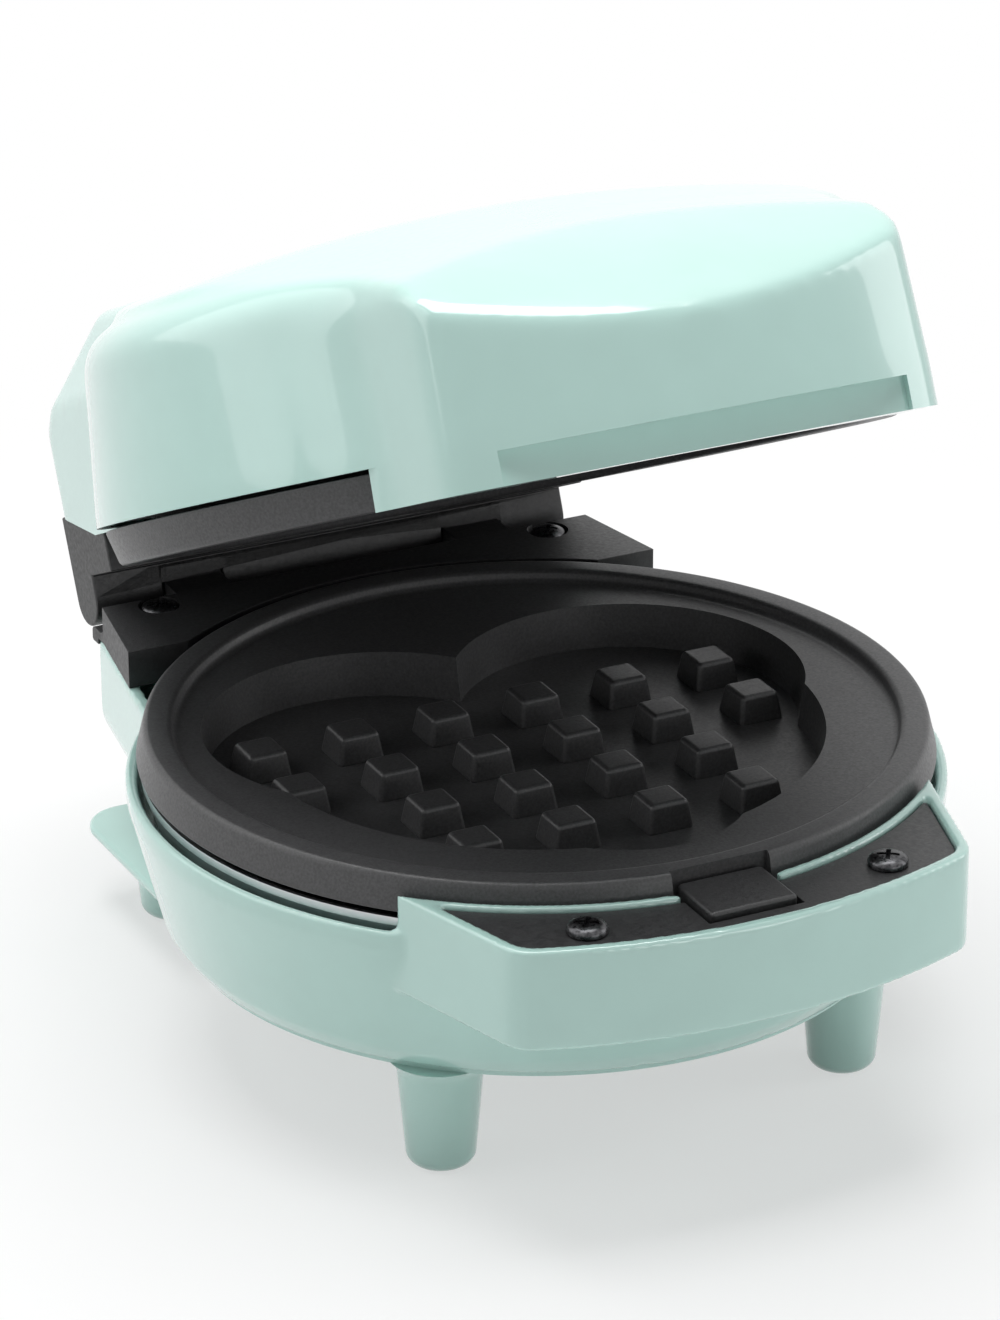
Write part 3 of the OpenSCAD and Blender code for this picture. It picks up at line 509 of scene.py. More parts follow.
# Heights of the flank's upper rounding, as angles round it.
TURN_ANGLES = (8, 20, 32, 44, 56, 68, 80)
REAR_FLARE = 3.5
REAR_FLARE_Y = 58
REAR_TOP_NARROW = 0.745
NOSE_FOOT_Z = 62.2
NOSE_REACH = 91.6
NOSE_REAR_X, NOSE_FRONT_X = 50.4, 47.4
NOSE_STEP_Y = -57.2
NOSE_DRAW_Z = 50.0
NOSE_GROW = 0.42
NOSE_DRAFT = 1.0
NOSE_BLEND_TURN = 11.0
NOSE_BLEND_RUN = 9.0
NOSE_BLEND_STEPS = (0, 0.14, 0.28, 0.42, 0.56, 0.7, 0.84)
NOSE_CORNER_R, NOSE_TURNED_CORNER_R = 7.0, 16.0
NOSE_NARROW = 0.952
NOSE_CUT_ROOM = 0.9
NOSE_SOLID_Y = -66
RECESS_HALF_W, RECESS_DEPTH, RECESS_H = 39, 8, 6
MINT_REAR_Z = 74.7
BLOCK_FRONT_Y = 88.1
BLOCK_SLAB_Y = 77.0
BLOCK_HALF = 50.5
UPPER_RIM_Z = RIM_Z + RIM_GAP
PLATE_ROOM_R = 74.3


def lid_roof(inset):
    """Everything under the top: a crown swept about a low axis, cut by a brow that falls straight forward."""
    axis_z = LID_TOP_Z - CROWN_R
    brow_z = LID_TOP_Z - BROW_R
    profile = [(LID_REAR_Y - inset, ROOF_LOW_Z), (LID_REAR_Y - inset, BACK_FOOT_Z - inset / 2),
               (BACK_TOP[0] - inset / 2, BACK_TOP[1] - inset)]
    profile += [(y, z - inset) for y, z in FOREHEAD] + [(FOREHEAD[-1][0], ROOF_LOW_Z)]
    half_sweep = math.radians(ROOF_HALF_SWEEP)
    points = []
    for y, z in profile:
        reach = z - axis_z
        points.append((-reach * math.sin(half_sweep), y, axis_z + reach * math.cos(half_sweep)))
    roof = from_points("roof", points, faces=[range(len(points))])
    bpy.ops.object.mode_set(mode="EDIT")
    bpy.ops.mesh.select_all(action="SELECT")
    bpy.ops.mesh.spin(steps=ROOF_STEPS, angle=-2 * half_sweep, center=(0, 0, axis_z * MM), axis=(0, 1, 0))
    outward()
    bpy.ops.object.mode_set(mode="OBJECT")
    middle = sum(v.co.x for v in roof.data.vertices) / len(roof.data.vertices)
    if abs(middle) > 0.02:
        raise RuntimeError("the lid's roof was swept to the wrong side")
    brow = ([(LID_REAR_Y + 4, 10), (LID_REAR_Y + 4, LID_DRAW_Z + 3), (BROW_Y, LID_DRAW_Z + 3)]
            + arc((BROW_Y, brow_z), BROW_R - inset, 90, BROW_END_ANGLE, 26) + [(-110, 10)])
    return combine(roof, bar_along_x("brow", brow, -130, 130), "INTERSECT")


def nose_room(room):
    """The space that the nose keeps when the rest is cut away beside it."""
    return prism("nose", lip_outline(NOSE_REAR_X, NOSE_FRONT_X, NOSE_REACH, -room - NOSE_GROW), NOSE_DRAW_Z,
                 LID_DRAW_Z, (NOSE_NARROW, NOSE_NARROW), (0, LIP_ROOT_Y))


def lid_loop(z, inset):
    """The lid's plan at one height: a round flank that flows into the nose."""
    rise = min(max((z - LID_SKIRT_Z) / (LID_SHOULDER_Z - LID_SKIRT_Z), 0), 1)
    over = min(max(z - LID_SHOULDER_Z, 0), LID_TURN_R)
    turned = LID_TURN_R - math.sqrt(LID_TURN_R ** 2 - over ** 2)
    radius = LID_SKIRT_R + (LID_SHOULDER_R - LID_SKIRT_R) * rise - turned - inset
    side = NOSE_DRAFT * rise + turned + inset
    lip = lip_outline(NOSE_REAR_X, NOSE_FRONT_X, NOSE_REACH, side,
                      corner_r=NOSE_CORNER_R if over == 0 else NOSE_TURNED_CORNER_R)
    root, corner = Vector(lip[0]), Vector(lip[1])
    along = (corner - root).normalized()
    reach = root.dot(along)
    meet = root + along * (math.sqrt(reach ** 2 + radius ** 2 - root.length_squared) - reach)
    turn = math.degrees(math.atan2(meet.y, meet.x)) + NOSE_BLEND_TURN
    flank = arc((0, 0), radius, turn, 180 - turn, 120)
    start, end = meet + along * NOSE_BLEND_RUN, Vector(flank[0])
    blend = [start.lerp(meet, t).lerp(meet.lerp(end, t), t) for t in NOSE_BLEND_STEPS]
    right = [(p.x, p.y) for p in blend]
    left = [(-x, y) for x, y in reversed(right)]
    return flank + left + lip[1:-1][::-1] + right


def lid_solid(inset, low):
    """The lid as one solid: flank and nose in one flow, and the rear box, under the roof."""
    turns = [LID_SHOULDER_Z + LID_TURN_R * math.sin(math.radians(t)) for t in TURN_ANGLES]
    loops = [[(x, y, z) for x, y in lid_loop(z, inset)]
             for z in [low, LID_SKIRT_Z, LID_SHOULDER_Z] + turns + [LID_DRAW_Z]]
    count = len(loops[0])
    edges = [(k * count + i, k * count + (i + 1) % count) for k in range(len(loops)) for i in range(count)]
    solid = from_points("flank", [point for loop in loops for point in loop], edges=edges)
    bpy.ops.object.mode_set(mode="EDIT")
    bpy.ops.mesh.select_mode(type="EDGE")
    bpy.ops.mesh.select_all(action="SELECT")
    bpy.ops.mesh.bridge_edge_loops()
    bpy.ops.mesh.select_all(action="DESELECT")
    bpy.ops.mesh.select_non_manifold()
    bpy.ops.mesh.edge_face_add()
    outward()
    bpy.ops.object.mode_set(mode="OBJECT")
    half = BLOCK_HALF - inset
    wide = half + REAR_FLARE
    rear_plan = [(-half, LID_REAR_Y + 1), (half, LID_REAR_Y + 1), (wide, REAR_FLARE_Y), (wide, 10),
                 (-wide, 10), (-wide, REAR_FLARE_Y)]
    rear = prism("rear", rear_plan, low, LID_UPRIGHT_Z + 1)
    rear_top = prism("rear_top", rear_plan, LID_UPRIGHT_Z, LID_DRAW_Z, (REAR_TOP_NARROW, 1), (0, 60))
    add(solid, rear, rear_top)
    return combine(solid, lid_roof(inset), "INTERSECT")


def lid_shell():
    """The glossy lid: softened all over, then cut crisp along its lower edges."""
    sizes = bpy.context.scene.waffle_sizes
    wall = sizes.wall / MM
    shell = soften(lid_solid(0.0, LID_DRAW_LOW_Z), sizes.lid_round, LID_SMOOTH_PASSES)
    hollow = lid_solid(wall, LID_DRAW_LOW_Z - 2)
    take(hollow, block("keep_nose", (-90, -120, 40), (90, NOSE_SOLID_Y, 140)))
    take(shell, hollow)
    beside_nose = take(block("beside_nose", (-120, -140, 30), (120, NOSE_STEP_Y + 0.01, LID_SKIRT_Z)),
                       nose_room(NOSE_CUT_ROOM))
    take(shell,
         block("below", (-120, NOSE_STEP_Y, 30), (120, 140, LID_SKIRT_Z)),
         beside_nose,
         block("below_nose", (-120, -140, 30), (120, NOSE_STEP_Y + 0.01, NOSE_FOOT_Z)),
         drum("plate_room", (0, 0), 40, LID_SKIRT_Z + 0.02, PLATE_ROOM_R),
         block("finger_recess", (-RECESS_HALF_W, -NOSE_REACH - 10, 40),
               (RECESS_HALF_W, -NOSE_REACH + RECESS_DEPTH, NOSE_FOOT_Z + RECESS_H)),
         bar_along_x("block_seat", [(BLOCK_SLAB_Y - 0.2, 50), (120, 50), (120, MINT_REAR_Z),
                                    (LID_REAR_Y, MINT_REAR_Z), (BLOCK_SLAB_Y - 0.2, LID_SKIRT_Z + 0.1)],
                     -80, 80))
    settle(shell, "lid_shell", "lid", MATERIALS["mint"], ["upper_housing"],
           smooth=40, weighted=False)


# ---------------------------------------------------------------- base

BOWL_FOOT = (69.2, 21.5)
BOWL_RIM = (75.7, 52.0)
RIM_SET_BACK = 0.15
HANDLE_TOP_Z = 59.0
HANDLE_FOOT_Z = 40.0
HANDLE_REAR_X, HANDLE_FRONT_X, HANDLE_REACH = 52.6, 45.8, 90.4
INNER_WALL_R = 74.0
REAR_BOX_Y = 84.5
REAR_BOX_X = 52.0
REAR_BOX_FLARE = (57.6, 49.5)
REAR_BOX_FOOT_Z = 33.0
REAR_BOX_ROUND = 6
BAR_FOOT_Z = 53.6
BASE_SMOOTH_PASSES = 9
NOTCH_HALF_W = 9.6
COVER_T, COVER_INSET = 2.4, 2.6
VENT_PITCH = 9
FRONT_LEG, REAR_LEG = (40.9, -43.6), (44.0, 70.0)


def rear_outline(inset):
    x, flare = REAR_BOX_X - inset, REAR_BOX_FLARE[0] - inset
    return [(-x, REAR_BOX_Y - inset), (x, REAR_BOX_Y - inset), (flare, REAR_BOX_FLARE[1]), (flare, 30),
            (-flare, 30), (-flare, REAR_BOX_FLARE[1])]


def base_shell():
    """The glossy base: bowl, hollow handle and rear box in one moulding."""
    sizes = bpy.context.scene.waffle_sizes
    wall = sizes.wall / MM
    foot_r, foot_z = BOWL_FOOT
    rim_r, rim_z = BOWL_RIM
    shell = spun("bowl", [(0, foot_z), (foot_r - 5, foot_z), (foot_r - 1.6, foot_z + 1.2),
                          (foot_r + 0.6, foot_z + 4.5), (rim_r - 0.5, rim_z - 5),
                          (rim_r - RIM_SET_BACK, rim_z - 3.6), (rim_r - RIM_SET_BACK, rim_z), (0, rim_z)])
    handle = prism("handle", lip_outline(HANDLE_REAR_X, HANDLE_FRONT_X, HANDLE_REACH), HANDLE_FOOT_Z,
                   HANDLE_TOP_Z)
    rear = prism("rear_box", rear_outline(0), REAR_BOX_FOOT_Z, BAR_FOOT_Z)
    bevel_where(rear, lambda a, b: max(a.z, b.z) < REAR_BOX_FOOT_Z + 1, REAR_BOX_ROUND, 4)
    add(shell, handle, rear)
    inner = spun("bowl_room", [(0, foot_z - 2), (foot_r - wall, foot_z - 2), (foot_r - wall, foot_z),
                               (rim_r - wall, rim_z - 2), (rim_r - wall, rim_z + 0.1), (0, rim_z + 0.1)])
    handle_room = prism("handle_room", lip_outline(HANDLE_REAR_X, HANDLE_FRONT_X, HANDLE_REACH, wall),
                        HANDLE_FOOT_Z + wall, HANDLE_TOP_Z + 5)
    take(handle_room, drum("bowl_stays", (0, 0), 30, 80, rim_r, vertices=180))
    rear_room = prism("rear_room", rear_outline(wall), REAR_BOX_FOOT_Z + wall, BAR_FOOT_Z + 5)
    take(rear_room, drum("bowl_stays", (0, 0), 30, 80, rim_r, vertices=180))
    take(shell, inner, drum("plate_room", (0, 0), rim_z - 1, 80, INNER_WALL_R, vertices=180),
         handle_room, rear_room,
         block("locator_way", (-NOTCH_HALF_W, -rim_r - 7, rim_z - 1), (NOTCH_HALF_W, -rim_r + 10, 70)))
    soften(shell, sizes.base_round, BASE_SMOOTH_PASSES)
    settle(shell, "base_shell", "base", MATERIALS["mint"], ["lower_housing"],
           smooth=50, weighted=False)


def leg(name, place, height, root_r, tip_r=6.4):
    """A tapered leg with a rounded tip and a flared root."""
    profile = [(0, 0)] + [(tip_r - 2.6 + x, 2.6 + z) for x, z in arc((0, 0), 2.6, -90, -8, 8)]
    profile += [(root_r - 0.4, height - 3), (root_r + 0.2, height - 1), (root_r + 1.4, height), (0, height)]
    made = spun(name, profile, 64)
    made.data.transform(Matrix.Translation(Vector((place[0], place[1], 0)) * MM))
    return made


def underside():
    """The base's cover with its front legs and vents, and the cord wrap with the rear legs."""
    foot_r, foot_z = BOWL_FOOT
    cover = drum("cover", (0, 0), foot_z, foot_z + COVER_T, foot_r - COVER_INSET, vertices=160)
    for i in range(-2, 3):
        y = i * VENT_PITCH
        take(cover, block("vent", (-16, y + 2.2, foot_z - 1), (16, y + 4.6, foot_z + 4)))
    round_edges(cover, 0.3, 2)
    louvres = [block("louvre", (-18, i * VENT_PITCH - 1, foot_z - 0.8),
                     (18, i * VENT_PITCH + 1, foot_z + 0.4)) for i in range(-2, 3)]
    legs = [leg("leg", (side * FRONT_LEG[0], FRONT_LEG[1]), foot_z + 0.1, 8.2) for side in (-1, 1)]
    cover = join("cover", cover, *legs, *louvres)
    settle(cover, "bottom_cover_moulding", "base", MATERIALS["mint"], ["bottom_cover"])

    half, rear_y, front_y, corner, top, thick = 56.4, 88.0, 44.0, 8.0, 16.0, 2.0
    outline = ([(half, front_y)] + arc((half - corner, rear_y - corner), corner, 0, 90, 10)
               + arc((corner - half, rear_y - corner), corner, 90, 180, 10) + [(-half, front_y)])
    wrap = prism("wrap", outline, top - thick, top)
    round_edges(wrap, 0.8, 3, 50)
    neck = block("neck", (-34, front_y, top - 1), (34, front_y + 14, foot_z))
    legs = [leg("leg", (side * REAR_LEG[0], REAR_LEG[1]), top - thick + 0.1, 7.6) for side in (-1, 1)]
    wrap = join("wrap", wrap, neck, *legs)
    settle(wrap, "cord_wrap_moulding", "base", MATERIALS["mint"], ["cord_wrap"])


# ---------------------------------------------------------------- plates

LAND_DROP = 2.5
CAVITY_DEPTH = 11.0
LOBE_X, LOBE_Y, LOBE_R, BELLY_R, TIP_R = 25.5, 12.5, 31.0, 51.0, 20.0
LIP_GROW = 2.4
PEG_PITCH = (18.6, 17.2)
PEG_OFFSET_Y = 2.9
PEG_FOOT_W, PEG_H, PEG_SUNK = 9.4, 5.9, 0.5
PEG_ROOM = 6.5
# Half section of the cast plate, as (radius, height) from its rim.
PLATE_PROFILE = [
    (0, -LAND_DROP), (65.2, -LAND_DROP), (66.0, -2.2), (66.5, -1.5), (66.7, -0.8), (67.1, -0.25),
    (67.8, 0), (71.0, 0), (71.6, -0.15), (72.0, -0.6), (72.2, -1.3), (73.4, -6.2), (73.3, -6.6),
    (72.9, -6.7), (70.7, -6.7), (70.4, -6.4), (69.8, -5.3), (0, -5.3)]
LIP_WITHIN_R = 64.5
POST_CIRCLE_R = 57


def heart_solid(name, grow, draft, low, high):
    """A heart-shaped solid whose sides lean in towards its lower end."""
    def cone(label, place, radius):
        return drum(label, place, low, high, radius + grow - draft, radius + grow, 160)

    belly = cone(name, (0, 0), BELLY_R)
    take(belly, block("above_belly", (-90, LOBE_Y, low - 5), (90, 90, high + 5)))
    return add(belly, cone("lobe", (LOBE_X, LOBE_Y), LOBE_R), cone("lobe", (-LOBE_X, LOBE_Y), LOBE_R),
               cone("tip", (0, TIP_R - BELLY_R - 4), TIP_R))


def in_heart(x, y, room):
    in_lobe = math.hypot(abs(x) - LOBE_X, y - LOBE_Y) < LOBE_R - room
    return in_lobe or (y < LOBE_Y and math.hypot(x, y) < BELLY_R - room)


def peg(x, y, floor_z):
    """One waffle peg: a tapered square post with rounded edges."""
    bpy.ops.mesh.primitive_cube_add(size=PEG_FOOT_W * MM, location=(0, 0, 0))
    made = bpy.context.object
    made.scale.z = PEG_H / PEG_FOOT_W
    bpy.ops.object.transform_apply(location=True, rotation=True, scale=True)
    bpy.ops.object.mode_set(mode="EDIT")
    bpy.ops.mesh.select_all(action="DESELECT")
    work = bmesh.from_edit_mesh(made.data)
    for face in work.faces:
        face.select_set(face.normal.z > 0.9)
    bmesh.update_edit_mesh(made.data)
    bpy.ops.transform.resize(value=(0.8, 0.8, 1))
    bpy.ops.mesh.select_all(action="SELECT")
    bpy.ops.mesh.bevel(offset=0.9 * MM, segments=3, affect="EDGES")
    bpy.ops.object.mode_set(mode="OBJECT")
    made.data.transform(Matrix.Translation(Vector((x, y, floor_z - PEG_SUNK + PEG_H / 2)) * MM))
    return made


def cast_plate(name):
    """A cast plate with its rim at height 0 and its heart facing up."""
    sizes = bpy.context.scene.waffle_sizes
    plate = spun("plate", PLATE_PROFILE, 220)
    add(plate, heart_solid("pan", LIP_GROW + 2.8, 1.2, -CAVITY_DEPTH - 2.8, -4.0))
    take(plate, heart_solid("cavity", LIP_GROW, 1.4, -CAVITY_DEPTH, -CAVITY_DEPTH + 10),
         block("notch", (-NOTCH_HALF_W, -95, -20), (NOTCH_HALF_W, -70.2, 5)))

    def lip(a, b):
        return (abs(a.z + LAND_DROP) < 0.05 and abs(b.z + LAND_DROP) < 0.05
                and max(math.hypot(a.x, a.y), math.hypot(b.x, b.y)) < LIP_WITHIN_R)

    bevel_where(plate, lip, sizes.heart_lip / MM, 5)
    pegs = []
    for i in range(-3, 3):
        for j in range(-3, 3):
            x, y = (i + 0.5) * PEG_PITCH[0], PEG_OFFSET_Y + j * PEG_PITCH[1]
            if in_heart(x, y, PEG_ROOM):
                pegs.append(peg(x, y, -CAVITY_DEPTH))
    studs = [drum("stud", (0, 0), -20.2, -13, 4, vertices=32)]
    for turn in (30, 150, 270):
        spot = (POST_CIRCLE_R * math.cos(math.radians(turn)), POST_CIRCLE_R * math.sin(math.radians(turn)))
        studs.append(drum("post", spot, -24.3, -12.5 if turn < 200 else -5, 3.6, vertices=32))
    return join(name, plate, *pegs, *studs)


def plates():
    """Both cast plates. The upper one is the lower one's mirror."""
    lower = cast_plate("lower_casting")
    upper = copied(lower, (0, 0, 0))
    lower.data.transform(Matrix.Translation((0, 0, RIM_Z * MM)))
    settle(lower, "lower_casting", "base", MATERIALS["coating"], ["lower_plate"], 35)
    upper.data.transform(Matrix.Translation((0, 0, UPPER_RIM_Z * MM)) @ Matrix.Scale(-1, 4, (0, 0, 1)))
    pick_only(upper)
    bpy.ops.object.mode_set(mode="EDIT")
    outward()
    bpy.ops.object.mode_set(mode="OBJECT")
    settle(upper, "upper_casting", "lid", MATERIALS["coating"], ["upper_plate"], 35)


# ---------------------------------------------------------------- black pieces

BAR_TOP_Z = 61.1
BAR_REAR_Y = 82.0
BAR_SCREW = (41.7, 78.2)
DECK_TOP_Z = 58.0
DECK_SCREW = (29.4, -78.2)
KNUCKLE_X, KNUCKLE_W, KNUCKLE_R = 30.0, 12.0, 5.2
KNUCKLE_PLAY = 0.4
SCREW_SINK = 1.6


def pin_ring(radius):
    """A circle round the hinge pin, as a side outline."""
    return arc((HINGE_Y, HINGE_Z), radius, 0, 348.75, 31)


def knuckle_span(side, play=0.0):
    """The two ends of a knuckle, or of the slot that takes it."""
    half = KNUCKLE_W / 2
    return sorted((side * (KNUCKLE_X - half - play), side * (KNUCKLE_X + half + play)))


def hinge_bar():
    """The black bar behind the plate, with a stepped seat and two knuckles."""
    bar = prism("bar", [(-52, BAR_REAR_Y), (52, BAR_REAR_Y), (55.8, 60), (-55.8, 60)],
                BAR_FOOT_Z, BAR_TOP_Z)
    hollow = arc((84.6, 58.6), 3.4, 175, 260, 6)
    ledge = [(81, BAR_FOOT_Z), (84.5, BAR_FOOT_Z), (84.5, 52.4), (87.0, 52.4), (87.4, 52.8), (87.4, 54.6),
             (87.0, 55.2), (86.2, 55.4)] + [(y - 0.4, z) for y, z in reversed(hollow)] + [(81, 59.4)]
    add(bar, bar_along_x("ledge", ledge, -52, 52))
    take(bar, drum("plate_room", (0, 0), 40, 90, 74.1, vertices=220))
    round_edges(bar, 0.7, 3, 30)
    for side in (-1, 1):
        take(bar, drum("dish", (side * BAR_SCREW[0], BAR_SCREW[1]), BAR_TOP_Z - SCREW_SINK, BAR_TOP_Z + 2,
                       4.1, vertices=48))
        low, high = knuckle_span(side)
        eye = arc((HINGE_Y, HINGE_Z), KNUCKLE_R, -90, 150, 28)
        knuckle = bar_along_x("knuckle", [(81, BAR_FOOT_Z + 0.6)] + eye + [(81, HINGE_Z + 2.4)], low, high)
        take(knuckle, bar_along_x("bore", pin_ring(2.0), low - 1, high + 1))
        round_edges(knuckle, 0.35, 2, 50)
        add(bar, knuckle)
    settle(bar, "hinge_bar_moulding", "base", MATERIALS["black"], ["hinge_bar"])


def hinge_block():
    """The lid's black hinge block, with slots for the bar's knuckles."""
    barrel = arc((HINGE_Y, HINGE_Z), LID_REAR_Y - HINGE_Y, 0, -180, 24)
    side = [(LID_REAR_Y, MINT_REAR_Z)] + barrel + [
        (BLOCK_FRONT_Y, UPPER_RIM_Z), (BLOCK_SLAB_Y, UPPER_RIM_Z), (BLOCK_SLAB_Y, LID_SKIRT_Z + 0.1)]
    made = bar_along_x("hinge_block", side, -BLOCK_HALF, BLOCK_HALF)
    take(made, drum("plate_room", (0, 0), 40, 90, PLATE_ROOM_R, vertices=220))
    for sign in (-1, 1):
        low, high = knuckle_span(sign, KNUCKLE_PLAY)
        slot = arc((HINGE_Y, HINGE_Z), KNUCKLE_R + KNUCKLE_PLAY, 0, 84, 10)
        slot += [(HINGE_Y, 62.2), (70, 62.2), (70, 40), (110, 40), (110, HINGE_Z)]
        take(made, bar_along_x("slot", slot, low, high))
    round_edges(made, 0.5, 3, 40)
    take(made, bar_along_x("bore", pin_ring(2.05), -48, 48))
    settle(made, "hinge_block_moulding", "lid", MATERIALS["black"], ["hinge_block"])


def front_deck():
    """The black panel let into the handle, and the block that locates the plate."""
    outline = lip_outline(HANDLE_REAR_X, HANDLE_FRONT_X, HANDLE_REACH, 2.6)
    deck = prism("deck", outline, DECK_TOP_Z - 2.4, DECK_TOP_Z)
    take(deck, drum("plate_room", (0, 0), 40, 90, 75.9, vertices=220),
         block("locator_slot", (-9.2, -84.6, 50), (9.2, -60, 60)))
    round_edges(deck, 0.5, 3, 40)
    settle(deck, "deck_panel", "base", MATERIALS["black"], ["front_deck"])

    locator = block("locator", (-8.4, -84, 54.0), (8.4, -70.8, 59.4))
    post = block("post", (-8.4, -84, 42.4), (8.4, -76, 54.5))
    round_edges(locator, 0.8, 3, 40)
    locator = join("locator", locator, post)
    settle(locator, "locator_block", "base", MATERIALS["black"], ["plate_locator"])


# Half section of a pan head above its shank, as (radius, height).
PAN_HEAD = [(1.7, 0), (3.3, 0), (3.6, 0.25), (3.6, 0.9), (3.3, 1.45), (2.6, 1.85), (1.4, 2.08), (0, 2.1)]


def screw(shank):
    """A pan-head screw with a cross recess, its head's underside at height 0."""
    head = spun("screw", [(0, -shank), (1.7, -shank)] + PAN_HEAD, 48)
    for turn in (45, 135):
        slot = block("slot", (-2.0, -0.42, 0.9), (2.0, 0.42, 3))
        slot.data.transform(Matrix.Rotation(math.radians(turn + 12), 4, "Z"))
        take(head, slot)
    return head


def screws():
    """The four screws that show on the deck and the hinge bar."""
    for name, node_name, (x, y), z, shank in (
            ("deck_screw_pair", "deck_screws", DECK_SCREW, DECK_TOP_Z, 9.9),
            ("bar_screw_pair", "hinge_bar_screws", BAR_SCREW, BAR_TOP_Z - SCREW_SINK, 13.9)):
        first = screw(shank)
        pair = [copied(first, (side * x, y, z)) for side in (-1, 1)]
        bpy.data.objects.remove(first)
        settle(join(name, *pair), name, "base", MATERIALS["screw"], [node_name])


# ---------------------------------------------------------------- pieces kept from the frame

KEPT = {
    "aluminium": ["lower_reflector", "upper_reflector"],
    "zinc": ["hinge_pin", "lower_heating_element", "lower_element_clamp", "lower_clamp_screw",
             "lower_plate_screws", "thermal_fuse", "upper_heating_element", "upper_element_clamp",
             "upper_clamp_screw", "upper_plate_screws"],
    "screw": ["bottom_cover_screws", "cord_wrap_screws", "hinge_block_screws"],
    "ceramic": ["thermostat", "terminal_block"],
    "sleeve": ["lower_leads", "upper_leads"],
    "black": ["cord_gland"],
}


def dress_kept_nodes():
    """Gives each piece that is kept from the frame its own finish."""
    for finish, names in KEPT.items():
        for name in names:
            piece = frame["nodes"][name]
            piece.data.materials.clear()
            piece.data.materials.append(MATERIALS[finish])


# ---------------------------------------------------------------- stage

CAMERA_AZIMUTH, CAMERA_ELEVATION, CAMERA_ROLL = -26.132, 23.783, -0.290
CAMERA_TARGET = (-7.304, 0.0, 73.442)
CAMERA_DISTANCE = 1016.99
FOCAL_PX, IMAGE_H_PX, SENSOR = 5590.3, 1320, 36
CAMERA_LENS = FOCAL_PX / IMAGE_H_PX * SENSOR

STAGE_SIZE = 4.0
FLOOR_PAINT = 0.8
# The floor is seen to fade from its paint to white over this run from the centre, in metres.
FADE_START, FADE_END, FADE_AT_START = 0.10, 0.34, 0.55
ROOM_LIGHT = 0.14
# Each softbox: name, place and aim in metres, width and height, and power in watts.
LAMPS = (
    ("side_softbox", (-0.8, 0.35, 0.62), (0, 0, 0.12), (1.1, 0.9), 3.6),
    ("top_softbox", (0, 0.2, 1.15), (0, 0, 0.05), (0.9, 0.9), 16),
    ("low_front_softbox", (0.35, -1.1, 0.1), (0, 0, 0.05), (0.8, 0.3), 2),
    ("right_softbox", (1.1, -0.35, 0.45), (0, 0, 0.1), (0.35, 0.9), 2.5),
)


def camera():
    """The camera, at the place from which the object is seen."""
    a, e, roll = (math.radians(v) for v in (CAMERA_AZIMUTH, CAMERA_ELEVATION, CAMERA_ROLL))
    back = Vector((math.sin(a) * math.cos(e), -math.cos(a) * math.cos(e), math.sin(e)))
    right = Vector((math.cos(a), math.sin(a), 0))
    up = back.cross(right)
    x_axis = math.cos(roll) * right + math.sin(roll) * up
    y_axis = -math.sin(roll) * right + math.cos(roll) * up
    spot = (Vector(CAMERA_TARGET) + Vector((0, SHIFT_Y, 0)) + back * CAMERA_DISTANCE) * MM
    data = bpy.data.cameras.new("camera")
    data.lens = CAMERA_LENS
    data.sensor_width = SENSOR
    data.clip_start = 0.05
    seen_from = bpy.data.objects.new("camera", data)
    bpy.context.scene.collection.objects.link(seen_from)
    seen_from.matrix_world = Matrix.Translation(spot) @ Matrix((x_axis, y_axis, back)).transposed().to_4x4()
    bpy.context.scene.camera = seen_from


def lamp(name, spot, aim, size, power):
    """A rectangular softbox."""
    data = bpy.data.lights.new(name, "AREA")
    data.shape = "RECTANGLE"
    data.size, data.size_y = size
    data.energy = power
    made = bpy.data.objects.new(name, data)
    bpy.context.scene.collection.objects.link(made)
    made.location = spot
    made.rotation_euler = (Vector(aim) - Vector(spot)).to_track_quat("-Z", "Y").to_euler()


def seen_rays(tree):
    """1 for the rays that show the background: camera, glossy and transmission rays."""
    path = node(tree, "ShaderNodeLightPath").outputs
    shown = node(tree, "ShaderNodeMath", [(0, path["Is Camera Ray"]), (1, path["Is Glossy Ray"])],
                 operation="ADD", use_clamp=True).outputs["Value"]
    return node(tree, "ShaderNodeMath", [(0, shown), (1, path["Is Transmission Ray"])],
                operation="ADD", use_clamp=True).outputs["Value"]


def floor():
    """A pale painted floor that keeps the object's shadow and is seen to fade to white around it."""
    bpy.ops.mesh.primitive_plane_add(size=STAGE_SIZE, location=(0, 0, 0))
    ground = bpy.context.object
    ground.name = "floor"
    material = bpy.data.materials.new("painted_white_floor")
    material.use_nodes = True
    tree = material.node_tree
    tree.nodes.clear()
    place = node(tree, "ShaderNodeTexCoord").outputs["Object"]
    away = node(tree, "ShaderNodeVectorMath", [(0, place)], operation="LENGTH").outputs["Value"]
    fade = node(tree, "ShaderNodeMapRange", [("Value", away)], interpolation_type="SMOOTHSTEP",
                **{"From Min": FADE_START, "From Max": FADE_END, "To Min": FADE_AT_START}).outputs["Result"]
    paint = node(tree, "ShaderNodeBsdfDiffuse", Color=(FLOOR_PAINT,) * 3 + (1,)).outputs["BSDF"]
    glow = node(tree, "ShaderNodeEmission", Color=(1, 1, 1, 1), Strength=1.0).outputs["Emission"]
    seen = node(tree, "ShaderNodeMixShader", [("Fac", fade), (1, paint), (2, glow)]).outputs["Shader"]
    both = node(tree, "ShaderNodeMixShader", [("Fac", seen_rays(tree)), (1, paint), (2, seen)])
    node(tree, "ShaderNodeOutputMaterial", [("Surface", both.outputs["Shader"])])
    ground.data.materials.append(material)


